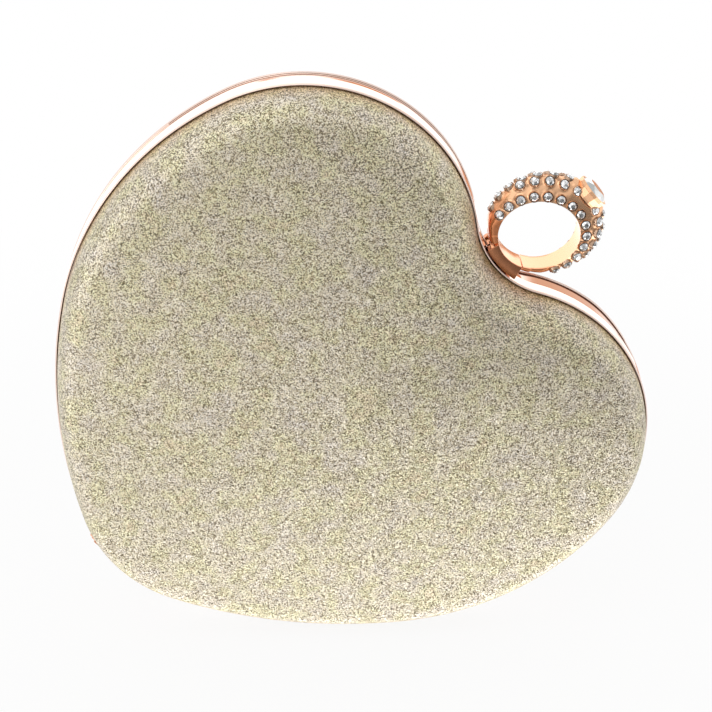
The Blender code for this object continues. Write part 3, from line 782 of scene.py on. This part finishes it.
def glitter_cover(name, side, body):
    """Fabric over a moulded shell. The attribute "rim" fades up the shoulder from its rim: a painted
    bounce light from the floor, in warm tan.
    """
    points = outline(PUFF_STEP)
    upwards = Vector((math.sin(TILT), math.cos(TILT)))
    lean = 0 if side > 0 else REAR_LEAN
    outer = puff(points, COVER_INSET, COVER_FOOT, 0, side, lean=lean)
    inner = puff(points, COVER_INSET + COVER_WALL, COVER_FOOT, COVER_WALL, side, *HIDDEN_STEPS, lean)
    bm = bmesh.new()
    rim = bm.verts.layers.float.new("rim")
    rows = loft(bm, outer[::-1] + inner)
    shoulder = rows[len(outer) - 1::-1][:SHOULDER_STEPS + 2]
    for k, row in enumerate(shoulder, -1):
        for vert, (_, normal) in zip(row, points):
            down = max(0, -normal.dot(upwards))
            climb = math.atan(RIM_CLIMB * down) / (SHOULDER_TURN / SHOULDER_STEPS)
            vert[rim] = held(RIM_START - (k - climb) / RIM_STEPS)
    new_piece(name, bm, GLITTER, body, "champagne_glitter", name.replace("_fabric", "_cover"))


def rear_moulded_shell():
    """The rear shell follows its cover, which leans in a little more than the front one."""
    points = outline(PUFF_STEP)
    inset, drop = COVER_INSET + COVER_WALL + SHELL_GAP, COVER_WALL + SHELL_GAP
    outer = puff(points, inset, COVER_FOOT, drop, -1, lean=REAR_LEAN)
    inner = puff(points, inset + SHELL_WALL, COVER_FOOT, drop + SHELL_WALL, -1, lean=REAR_LEAN)
    bm = bmesh.new()
    loft(bm, outer[::-1] + inner)
    new_piece("rear_moulded_shell", bm, PLASTIC, "rear_half", "shell_plastic", "rear_shell")


def lining_tray(name, side, body):
    """Satin-covered tray with a flange under the frame's ledge."""
    points = outline(PUFF_STEP)
    far = LEDGE_HEIGHT - SEAT_GAP
    near = far - FLANGE_WALL
    outer = puff(points, LINING_INSET, far, LINING_DROP, side, *HIDDEN_STEPS)
    inner = puff(points, LINING_INSET + LINING_WALL, near, LINING_DROP + LINING_WALL, side)
    flange = [ring_at(points, -BAND_WALL - SEAT_GAP, side * far),
              ring_at(points, -BAND_WALL - SEAT_GAP, side * near)]
    bm = bmesh.new()
    loft(bm, outer[::-1] + flange + inner)
    new_piece(name, bm, SATIN, body, "champagne_satin", name.replace("_satin", ""))


def tray_height(u, v, inset, drop):
    """How far out of the parting plane a puffed surface's crown is at a place."""
    out = -inset - SHOULDER_RUN * (1 - math.cos(SHOULDER_TURN))
    middle = Vector((CROWN_CENTRE_U, 0))
    edge = [p + n * out - middle for p, n in outline(TRAY_STEP)]
    here = Vector((u, v)) - middle
    share = 0.0
    for a, b in zip(edge[-1:] + edge, edge):
        cross = a.cross(b)
        if a.cross(here) * cross >= 0 and here.cross(b) * cross >= 0:
            share = abs(here.cross(b - a) / cross)
            break
    rise = SHOULDER_RISE - drop
    return LIP_W + rise * math.sin(SHOULDER_TURN) + CROWN_RISE * (1 - share ** 2)


def slip_pocket():
    """Satin pocket sewn to the rear lining on three sides; its hemmed mouth stands a little open."""
    inset, drop = LINING_INSET + LINING_WALL, LINING_DROP + LINING_WALL
    front, back = [], []
    for i in range(POCKET_ROWS + 1):
        t = i / POCKET_ROWS
        u = POCKET_BOTTOM_U + (POCKET_TOP_U - POCKET_BOTTOM_U) * t
        near, far = [], []
        for k in range(POCKET_COLUMNS + 1):
            s = 2 * k / POCKET_COLUMNS - 1
            v = POCKET_HALF * s
            ground = tray_height(u, v, inset, drop)
            seam = min(1, (1 - abs(s)) / SIDE_SEAM) * min(1, t / BOTTOM_SEAM)
            slack = POCKET_GAPE * t ** 2 * (1 - s ** 2) ** 1.5 + POCKET_SLACK * seam
            wave = math.sin(s * FOLD_RATE + FOLD_SWAY * math.sin(t * FOLD_SWAY_RATE))
            fold = POCKET_FOLD * wave * seam * (FOLD_AT_FOOT + (1 - FOLD_AT_FOOT) * t)
            hem = POCKET_HEM if t > HEM_START else 0
            inner = ground - SEAT_GAP - slack - fold
            far.append(placed(u, v, -(inner + hem * 0.2)))
            near.append(placed(u, v, -(inner - POCKET_CLOTH - hem * 0.5)))
        front.append(near)
        back.append(far)
    bm = bmesh.new()
    sheets = [[[bm.verts.new(p) for p in row] for row in side] for side in (front, back)]
    for side in sheets:
        for low, high in zip(side, side[1:]):
            for k in range(POCKET_COLUMNS):
                bm.faces.new((low[k], low[k + 1], high[k + 1], high[k]))
    near, far = sheets
    for a, b in ((near[0], far[0]), (near[-1], far[-1]),
                 ([r[0] for r in near], [r[0] for r in far]),
                 ([r[-1] for r in near], [r[-1] for r in far])):
        for k in range(len(a) - 1):
            bm.faces.new((a[k], a[k + 1], b[k + 1], b[k]))
    piece = new_piece("slip_pocket", bm, SATIN, "rear_half", "champagne_satin", "inner_pocket")


def ring_wall(theta):
    """The finger ring's thickness at an angle from its crown."""
    return (RING_OFFSET * math.cos(theta) - RING_BORE
            + math.sqrt(RING_OUTER ** 2 - (RING_OFFSET * math.sin(theta)) ** 2)
            + RING_UPPER_WALL * math.cos(theta - (math.pi / 2 - TILT)))


def oval(point):
    """Moves a place of the ring, in heart axes: the ring is a little wider than it is high."""
    across = Vector((math.cos(TILT), -math.sin(TILT), 0))
    up = Vector((math.sin(TILT), math.cos(TILT), 0))
    arm = point - Vector((RING_CENTRE_U, 0, 0))
    return point + across * arm.dot(across) * RING_WIDER - up * arm.dot(up) * RING_LOWER


def ring_surface(theta, psi):
    """A point over the ring's dome in heart axes, and the way out there. The legs are squarer."""
    wall = ring_wall(theta)
    half = RING_HALF_WIDTH + CROWN_EXTRA_WIDTH * (1 + math.cos(theta)) / 2
    away = Vector((math.cos(theta), math.sin(theta), 0))
    leg = held((abs(theta) - LEG_START) / LEG_RUN)
    power = 1 - LEG_SQUARENESS * leg
    side = math.copysign(abs(math.cos(psi)) ** power, math.cos(psi))
    rise = max(0, math.sin(psi)) ** power
    normal = (away * math.sin(psi) / wall + Vector((0, 0, math.cos(psi) / half))).normalized()
    point = Vector((RING_CENTRE_U, 0, half * side)) + away * (RING_BORE + wall * rise)
    return oval(point), normal


def strip_half(theta):
    """Half the width of a crown strip, as an angle over the ring's dome."""
    share = (theta - STRIP_FIRST) / (STRIP_LAST - STRIP_FIRST)
    return STRIP_START + (STRIP_END - STRIP_START) * share


def stone_seats():
    """Where each stone sits: (group, theta, psi)."""
    seats = []
    for i in range(FACE_ROW_COUNT):
        theta = FACE_ROW_HALF_SPAN * (2 * i / (FACE_ROW_COUNT - 1) - 1)
        psi = math.asin(FACE_ROW_RISE / ring_wall(theta))
        seats.append((f"front_stone_{i + 1:02d}", theta, psi))
        seats.append((f"rear_stone_{i + 1:02d}", theta, math.pi - psi))
    row_step = (CROWN_ROW_END - CROWN_ROW_START) / (CROWN_ROW_COUNT - 1)
    for group, side in (("left_crown_stones", 1), ("right_crown_stones", -1)):
        for share, count, start, step in (
                (-CROWN_SIDE_SHARE, CROWN_SIDE_COUNT, CROWN_SIDE_START, CROWN_SIDE_STEP),
                (0, CROWN_ROW_COUNT, CROWN_ROW_START, row_step),
                (CROWN_SIDE_SHARE, CROWN_SIDE_COUNT, CROWN_SIDE_START, CROWN_SIDE_STEP)):
            for i in range(count):
                theta = start + step * i
                seats.append((group, side * theta, math.pi / 2 + share * strip_half(theta)))
    return seats


def to_row_frame(bm):
    """Moves a bmesh from the heart's own axes to the row frame."""
    for vert in bm.verts:
        vert.co = placed(*vert.co)


def finger_ring():
    """The ring's body: hollows between the stones, a pad at the crown, plain legs with collars.

    The attributes "crevice" and "leg" say where its finish is darker: a painted shade in the hollows,
    and a painted darker reflection on the legs."""
    seats = [ring_surface(theta, psi)[0] for _, theta, psi in stone_seats()]
    bm = bmesh.new()
    crevice = bm.verts.layers.float.new("crevice")
    leg = bm.verts.layers.float.new("leg")
    rings, depths, legs = [], [], []
    for i in range(RING_STATIONS + 1):
        theta = -RING_END + 2 * RING_END * i / RING_STATIONS
        away = Vector((math.cos(theta), math.sin(theta), 0))
        ring, depth = [], []
        pad = held((CROWN_PAD_END - abs(theta)) / (CROWN_PAD_END - CROWN_PAD))
        flat = min(abs(theta), CROWN_PAD)
        rise = (RING_BORE + ring_wall(0)) * (1 / math.cos(flat) - 1) + ring_wall(0) - ring_wall(flat)
        for k in range(RING_ACROSS + 1):
            psi = math.pi * k / RING_ACROSS
            point, normal = ring_surface(theta, psi)
            near = min((point - seat).length for seat in seats)
            hollow = held((near - HOLLOW_START) / HOLLOW_RUN)
            edge = min(1, min(psi, math.pi - psi) / HOLLOW_EDGE)
            fade = held((HOLLOW_END - abs(theta)) / HOLLOW_FADE) * (1 - pad)
            chevron = math.radians(LEG_COLLAR_DEGREES - LEG_COLLAR_POINT * abs(math.cos(psi)))
            collar = LEG_COLLAR * held((abs(theta) - chevron) / LEG_COLLAR_RUN)
            lift = collar - HOLLOW_DEPTH * hollow * edge * fade
            ring.append(point + normal * lift + away * rise * pad * math.sin(psi))
            # How much painted shade a hollow gets, near the stones
            bare = held((CREVICE_END - near) / HOLLOW_RUN)
            depth.append(hollow * edge * fade * bare)
        for k in range(1, RING_BORE_STEPS):
            w = ring[RING_ACROSS][2]
            w += (ring[0][2] - w) * k / RING_BORE_STEPS
            ring.append(oval(Vector((RING_CENTRE_U, 0, w)) + away * RING_BORE))
            depth.append(0.0)
        rings.append(ring)
        depths.append(depth)
        # Share of the legs' painted reflection
        legs.append(held((abs(theta) - LEG_REFLECTION_START) / LEG_REFLECTION_RUN))
    for row, depth, share in zip(loft(bm, rings, caps=True), depths, legs):
        for k, (vert, value) in enumerate(zip(row, depth)):
            vert[crevice] = value
            vert[leg] = share if k <= RING_ACROSS else 0
    to_row_frame(bm)
    new_piece("ring_body", bm, RING_GOLD, "clasp_lever", "rose_gold", "finger_ring", sharp=40)


def circle(place, radius, height, count, turn=0.0):
    """Points round the placement's Z. Turn is a part of the step between them."""
    angles = [2 * math.pi * (i + turn) / count for i in range(count)]
    return [place @ Vector((radius * math.cos(a), radius * math.sin(a), height)) for a in angles]


def cut_stone(bm, place, radius, table, low, high, sides, shades, layer, dimmest=0.0):
    """A brilliant's crown and a short pavilion, with a grey drawn for each facet as a painted
    reflection.
    """
    def around(*measures):
        return [bm.verts.new(p) for p in circle(place, *measures)]

    def face(*verts):
        made = bm.faces.new(verts)
        made[layer] = dimmest + (1 - dimmest) * shades.random() ** FACET_POWER

    top = around(table, high, sides)
    middle = around((table + radius) * FACET_SPREAD, low + (high - low) * FACET_RISE, sides, 0.5)
    girdle = around(radius, low, sides * 2)
    foot = around(radius * PAVILION_SHARE, low - (high - low) * PAVILION_DEPTH, sides * 2)
    for i in range(sides):
        j = (i + 1) % sides
        face(top[i], top[j], bm.verts.new(place @ Vector((0, 0, high))))
        face(top[i], middle[i], top[j])
        face(top[j], middle[i], girdle[(2 * i + 2) % (2 * sides)], middle[j])
        face(middle[i], girdle[2 * i + 1], girdle[(2 * i + 2) % (2 * sides)])
        face(middle[i], girdle[2 * i], girdle[2 * i + 1])
    for i in range(2 * sides):
        j = (i + 1) % (2 * sides)
        face(girdle[i], foot[i], foot[j], girdle[j])
    bm.faces.new(foot[::-1])


def add_to(bm, part):
    """Puts one bmesh's faces into another."""
    mesh = bpy.data.meshes.new("part")
    part.to_mesh(mesh)
    part.free()
    bm.from_mesh(mesh)
    bpy.data.meshes.remove(mesh)


def stand_on(theta, psi):
    """Placement with Z along the way out of the ring's surface."""
    point, normal = ring_surface(theta, psi)
    return Matrix.Translation(point) @ normal.to_track_quat("Z", "Y").to_matrix().to_4x4()


def turned(bm, place, profile, sides):
    """A closed profile of (radius, along) turned about the placement's Z."""
    loft(bm, [circle(place, r, h, sides) for r, h in profile], closed=True)


def stones():
    """Every stone in its cup over a dark disc, a painted shade in the cup. Stones of one crown strip
    are one piece, as in the CAD.
    """
    shades = random.Random(STONE_DRAWS)
    groups = {}
    for group, theta, psi in stone_seats():
        groups.setdefault(group, []).append((theta, psi))
    cups, shade_discs = bmesh.new(), bmesh.new()
    cup = [(CUP_BORE, CUP_FOOT), (CUP_RADIUS + CUP_FLARE, CUP_FOOT),
           (CUP_RADIUS, CUP_HEIGHT - 2 * CUP_BEVEL), (CUP_RADIUS - CUP_BEVEL, CUP_HEIGHT),
           (CUP_BORE + CUP_EDGE, CUP_HEIGHT), (CUP_BORE, CUP_HEIGHT - CUP_BEVEL)]
    shade_disc = [(SHADE_DISC_HOLE, SHADE_DISC_TOP), (SHADE_DISC_RADIUS, SHADE_DISC_TOP), (SHADE_DISC_RADIUS, SHADE_DISC_FOOT),
            (SHADE_DISC_HOLE, SHADE_DISC_FOOT)]
    for group, seats in groups.items():
        gems = bmesh.new()
        layer = gems.faces.layers.float.new("facet")
        for theta, psi in seats:
            place = stand_on(theta, psi) @ Matrix.Rotation(shades.random() * TURN_DRAWN, 4, "Z")
            cut_stone(gems, place, STONE_RADIUS, STONE_TABLE_RADIUS, STONE_LOW, STONE_HIGH,
                      STONE_SIDES, shades, layer)
            turned(cups, place, cup, CUP_SIDES)
            # The dark disc of painted shade under the stone
            turned(shade_discs, place, shade_disc, CUP_SIDES)
        to_row_frame(gems)
        new_piece(f"{group}_cut", gems, STONE, "clasp_lever", "clear_crystal", group, smooth=False)
    to_row_frame(cups)
    to_row_frame(shade_discs)
    new_piece("stone_cups", cups, CUP_GOLD, "clasp_lever", "rose_gold", sharp=45)
    new_piece("stone_foils", shade_discs, STONE_SHADE_DISC, "clasp_lever", "rose_gold", sharp=45)


def big_crystal():
    """The faceted collar that caps the crown, and the big round crystal in it."""
    shades = random.Random(CRYSTAL_DRAWS)
    crown = RING_CENTRE_U + RING_BORE + ring_wall(0)
    place = Matrix.Translation(oval(Vector((crown, 0, 0)))) @ Matrix.Rotation(math.pi / 2, 4, "Y")
    gem, collar = bmesh.new(), bmesh.new()
    layer = gem.faces.layers.float.new("facet")
    inside = COLLAR_RADIUS - COLLAR_WALL
    cut_stone(gem, place, inside - CRYSTAL_GAP, CRYSTAL_TABLE_RADIUS, COLLAR_RISE - CRYSTAL_SINK,
              COLLAR_RISE + CRYSTAL_CROWN, STONE_SIDES, shades, layer, CRYSTAL_DIMMEST)
    wall = [(inside, -COLLAR_SKIRT), (COLLAR_RADIUS - COLLAR_TAPER, -COLLAR_SKIRT),
            (COLLAR_RADIUS - COLLAR_BEVEL, COLLAR_RISE - COLLAR_BAND - COLLAR_BEVEL),
            (COLLAR_RADIUS, COLLAR_RISE - COLLAR_BAND), (COLLAR_RADIUS, COLLAR_RISE - COLLAR_BEVEL),
            (COLLAR_RADIUS - COLLAR_BEVEL, COLLAR_RISE), (inside + COLLAR_EDGE, COLLAR_RISE),
            (inside, COLLAR_RISE - COLLAR_BEVEL)]
    turned(collar, place, wall, COLLAR_SIDES)
    to_row_frame(gem)
    to_row_frame(collar)
    new_piece("crown_crystal", gem, CRYSTAL, "clasp_lever", "clear_crystal", "centre_crystal",
              smooth=False)
    new_piece("crown_collar", collar, RING_GOLD, "clasp_lever", "rose_gold", "crystal_seat", sharp=20)


def soften(bm, width, angle=0.6):
    """Rounds every edge that turns by more than the angle."""
    bmesh.ops.recalc_face_normals(bm, faces=bm.faces)
    rim = [e for e in bm.edges if len(e.link_faces) == 2 and e.calc_face_angle() > angle]
    bmesh.ops.bevel(bm, geom=rim, offset=width, segments=3, affect="EDGES", profile=0.5)


def saddle():
    """The block under the ring, its apron over the catch plate, and its two arms to the pivot."""
    centre = Vector((RING_CENTRE_U, 0, 0))
    bm, apron = bmesh.new(), bmesh.new()
    for target, half, under, low, high in (
            (bm, SADDLE_HALF, SADDLE_RADIUS, -SADDLE_REAR, SADDLE_FRONT),
            (apron, APRON_HALF, APRON_RADIUS, SADDLE_FRONT, LIP_W)):
        reach = math.asin(half / under)
        shares = [2 * i / SADDLE_STEPS - 1 for i in range(SADDLE_STEPS + 1)]
        bore = [math.pi + SADDLE_SPAN * share for share in shares]
        foot = [math.pi - reach * share for share in shares]
        arc = [oval(centre + RING_BORE * Vector((math.cos(a), math.sin(a), 0))).to_2d() for a in bore]
        arc += [CLEFT_CENTRE + under * Vector((math.cos(a), math.sin(a))) for a in foot]
        part = bmesh.new()
        loft(part, [[Vector((p[0], p[1], w)) for p in arc] for w in (low, high)], caps=True)
        soften(part, SADDLE_BEVEL / 2)
        add_to(target, part)
    for side in (1, -1):
        arm = bmesh.new()
        low, high = PIVOT_U + ARM_RISE, PIVOT_U + ARM_RISE + ARM_WALL
        corners = [(low, PIVOT_W), (low, ARM_START_W), (high, ARM_START_W), (high, PIVOT_W)]
        sides = [[Vector((u, side * v, w)) for u, w in corners] for v in (ARM_NEAR, ARM_FAR)]
        loft(arm, sides, caps=True)
        soften(arm, EYE_BEVEL)
        add_to(bm, arm)
        across = Matrix.Rotation(-side * math.pi / 2, 4, "X")
        across = Matrix.Translation((PIVOT_U, 0, PIVOT_W)) @ across
        eye = [(PIVOT_BORE, ARM_NEAR), (PIVOT_KNUCKLE - EYE_BEVEL, ARM_NEAR),
               (PIVOT_KNUCKLE, ARM_NEAR + EYE_BEVEL), (PIVOT_KNUCKLE, ARM_FAR - EYE_BEVEL),
               (PIVOT_KNUCKLE - EYE_BEVEL, ARM_FAR), (PIVOT_BORE, ARM_FAR)]
        turned(bm, across, eye, EYE_SIDES)
    to_row_frame(bm)
    to_row_frame(apron)
    new_piece("ring_saddle", bm, RING_GOLD, "clasp_lever", "rose_gold", "clasp_saddle", sharp=35)
    # The apron's darker rose gold is a painted shade
    new_piece("saddle_apron", apron, SHADED_SADDLE_GOLD, "clasp_lever", "rose_gold", sharp=35)


def dress_cad_nodes():
    """Finishes for the CAD nodes that stay as they are: hinge and clasp parts get the rose gold
    darkened by a painted shade, and the front shell its plastic.
    """
    finishes = {"rose_gold": SHADED_SADDLE_GOLD, "spring_steel": SHADED_SADDLE_GOLD, "shell_plastic": PLASTIC}
    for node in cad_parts.values():
        if node.hide_render:
            continue
        for slot in node.material_slots:
            for start, finish in finishes.items():
                if slot.material and slot.material.name.startswith(start):
                    slot.material = finish


for end, side in (("front", 1), ("rear", -1)):
    heart_frame(f"{end}_band", side, f"{end}_half")
    glitter_cover(f"{end}_glitter_fabric", side, f"{end}_half")
    lining_tray(f"{end}_lining_satin", side, f"{end}_half")
rear_moulded_shell()
slip_pocket()
finger_ring()
saddle()
stones()
big_crystal()
dress_cad_nodes()


def between(nodes, angle, ends):
    """Turns smoothly from 0 to 1 between two angles, given in degrees."""
    return nodes.smooth(angle, *map(math.radians, ends))


def window(nodes, turn, rise, sides, ends):
    """1 in a part of the room, between two bearings and two heights, with soft edges."""
    across = between(nodes, turn, sides[:2]) * (1 - between(nodes, turn, sides[2:]))
    return across * between(nodes, rise, ends[:2]) * (1 - between(nodes, rise, ends[2:]))


def surroundings():
    """White studio, painted by direction.

    Mirrors find a bright back wall with a warm card, a dim room in front and a bright floor far
    down. Matt surfaces find a plainer and dimmer room, and the camera finds plain white."""
    world = bpy.data.worlds.new("studio")
    bpy.context.scene.world = world
    world.use_nodes = True
    nodes = Nodes(world.node_tree)
    light = nodes.node("ShaderNodeLightPath", {}, {})
    way = nodes.node("ShaderNodeTexCoord", {}, {})["Generated"]
    parts = nodes.node("ShaderNodeSeparateXYZ", {}, {"Vector": way})
    turn = nodes.maths("ARCTAN2", parts["X"], parts["Y"])
    rise = nodes.maths("ARCSINE", parts["Z"])
    to_left = 0 - parts["X"]
    front = nodes.smooth(0 - parts["Y"], *FRONT_EDGE)
    up = between(nodes, rise, UP_RISE)
    ahead = FRONT_LEVEL + nodes.smooth(to_left, *LEFT_EDGE) * (LEFT_LEVEL - FRONT_LEVEL)
    above = UP_LEVEL + nodes.smooth(to_left, *UP_LEFT_EDGE) * (UP_LEFT_LEVEL - UP_LEVEL)
    ahead = ahead + up * (above - ahead)
    sky = BEHIND_LEVEL + front * (ahead - BEHIND_LEVEL)
    right = nodes.smooth(parts["X"], *RIGHT_EDGE) * (1 - up)
    walls = sky + right * (RIGHT_LEVEL - sky)
    ground = LOW_LEVEL + nodes.smooth(parts["X"], *LOW_RIGHT_EDGE) * (LOW_RIGHT_LEVEL - LOW_LEVEL)
    ground = ground * (1 - nodes.smooth(parts["Y"], *LOW_FAR_EDGE) * LOW_FAR_DIMMING)
    walls = walls + (1 - between(nodes, rise, LOW_RISE)) * (ground - walls)
    back = window(nodes, turn, rise, BACK_TURN, BACK_RISE)
    walls = walls + back * (BACK_LEVEL - walls)
    right_floor = between(nodes, turn, RIGHT_FLOOR_TURN) * (1 - front)
    right_floor = right_floor * (1 - between(nodes, rise, RIGHT_FLOOR_RISE))
    walls = walls - right_floor * back * RIGHT_FLOOR_DIMMING
    card = nodes.maths("MAXIMUM", window(nodes, turn, rise, CARD_TURN, CARD_RISE),
                       window(nodes, turn, rise, TALL_CARD_TURN, TALL_CARD_RISE))
    mirrored = nodes.blend(card, nodes.grey(walls), WARM_CARD)
    others = nodes.blend(light["Is Glossy Ray"], nodes.grey(sky * SKY_SHARE), mirrored)
    colour = nodes.blend(light["Is Camera Ray"], others, (1.0, 1.0, 1.0))
    nodes.fill(world.node_tree.nodes["Background"], {"Color": colour, "Strength": 1.0})


def floor():
    """White sweep that keeps the clutch's shadow near it, and is plain white further out."""
    bm = bmesh.new()
    bmesh.ops.create_grid(bm, x_segments=1, y_segments=1, size=FLOOR_SIZE)
    mesh = bpy.data.meshes.new("floor")
    bm.to_mesh(mesh)
    bm.free()
    piece = in_scene("floor", mesh)
    material, nodes, shader = new_finish("floor_white", {"Base Color": FLOOR_WHITE,
                                                         "Roughness": 0.9})
    parts = nodes.node("ShaderNodeSeparateXYZ", {}, {"Vector": nodes.place()})
    reach = nodes.maths("SQRT", parts["X"] * parts["X"] + parts["Y"] * parts["Y"])
    away = nodes.smooth(reach, *FLOOR_SHADOW_END)
    light = nodes.node("ShaderNodeLightPath", {}, {})
    seen = light["Is Camera Ray"] * (FLOOR_GLOW + away * (1 - FLOOR_GLOW))
    glow = nodes.node("ShaderNodeEmission", {}, {"Color": (1.0, 1.0, 1.0),
                                                 "Strength": 1.0})["Emission"]
    both = nodes.node("ShaderNodeMixShader", {}, {0: seen, 1: Wire(nodes, shader.outputs[0]),
                                                  2: glow})["Shader"]
    nodes.fill(nodes.tree.nodes["Material Output"], {"Surface": both})
    piece.data.materials.append(material)
    piece.visible_glossy = False


def softbox(name, place, target, width, height, radiance):
    """An area lamp of a given radiance, facing its target."""
    lamp = bpy.data.lights.new(name, "AREA")
    lamp.shape = "RECTANGLE"
    lamp.size, lamp.size_y = width, height
    lamp.energy = radiance * math.pi * width * height
    item = in_scene(name, lamp)
    item.location = place
    item.rotation_euler = (Vector(target) - Vector(place)).to_track_quat("-Z", "Y").to_euler()


def camera():
    """The photograph's view."""
    lens = bpy.data.cameras.new("camera")
    lens.sensor_width = CAMERA_SENSOR
    lens.lens = CAMERA_LENS
    item = in_scene("camera", lens)
    item.location = CAMERA_PLACE
    item.rotation_euler = (CAMERA_TARGET - item.location).to_track_quat("-Z", "Y").to_euler()
    bpy.context.scene.camera = item


surroundings()
floor()
softbox("top_softbox", place=(-0.25, -0.20, 1.1), target=MIDDLE, width=0.8, height=0.8, radiance=0.6)
softbox("left_softbox", place=(-0.9, -0.55, 0.10), target=MIDDLE, width=0.8, height=0.6, radiance=1.2)
camera()
bpy.context.scene.view_settings.view_transform = "Standard"

bpy.context.view_layer.update()
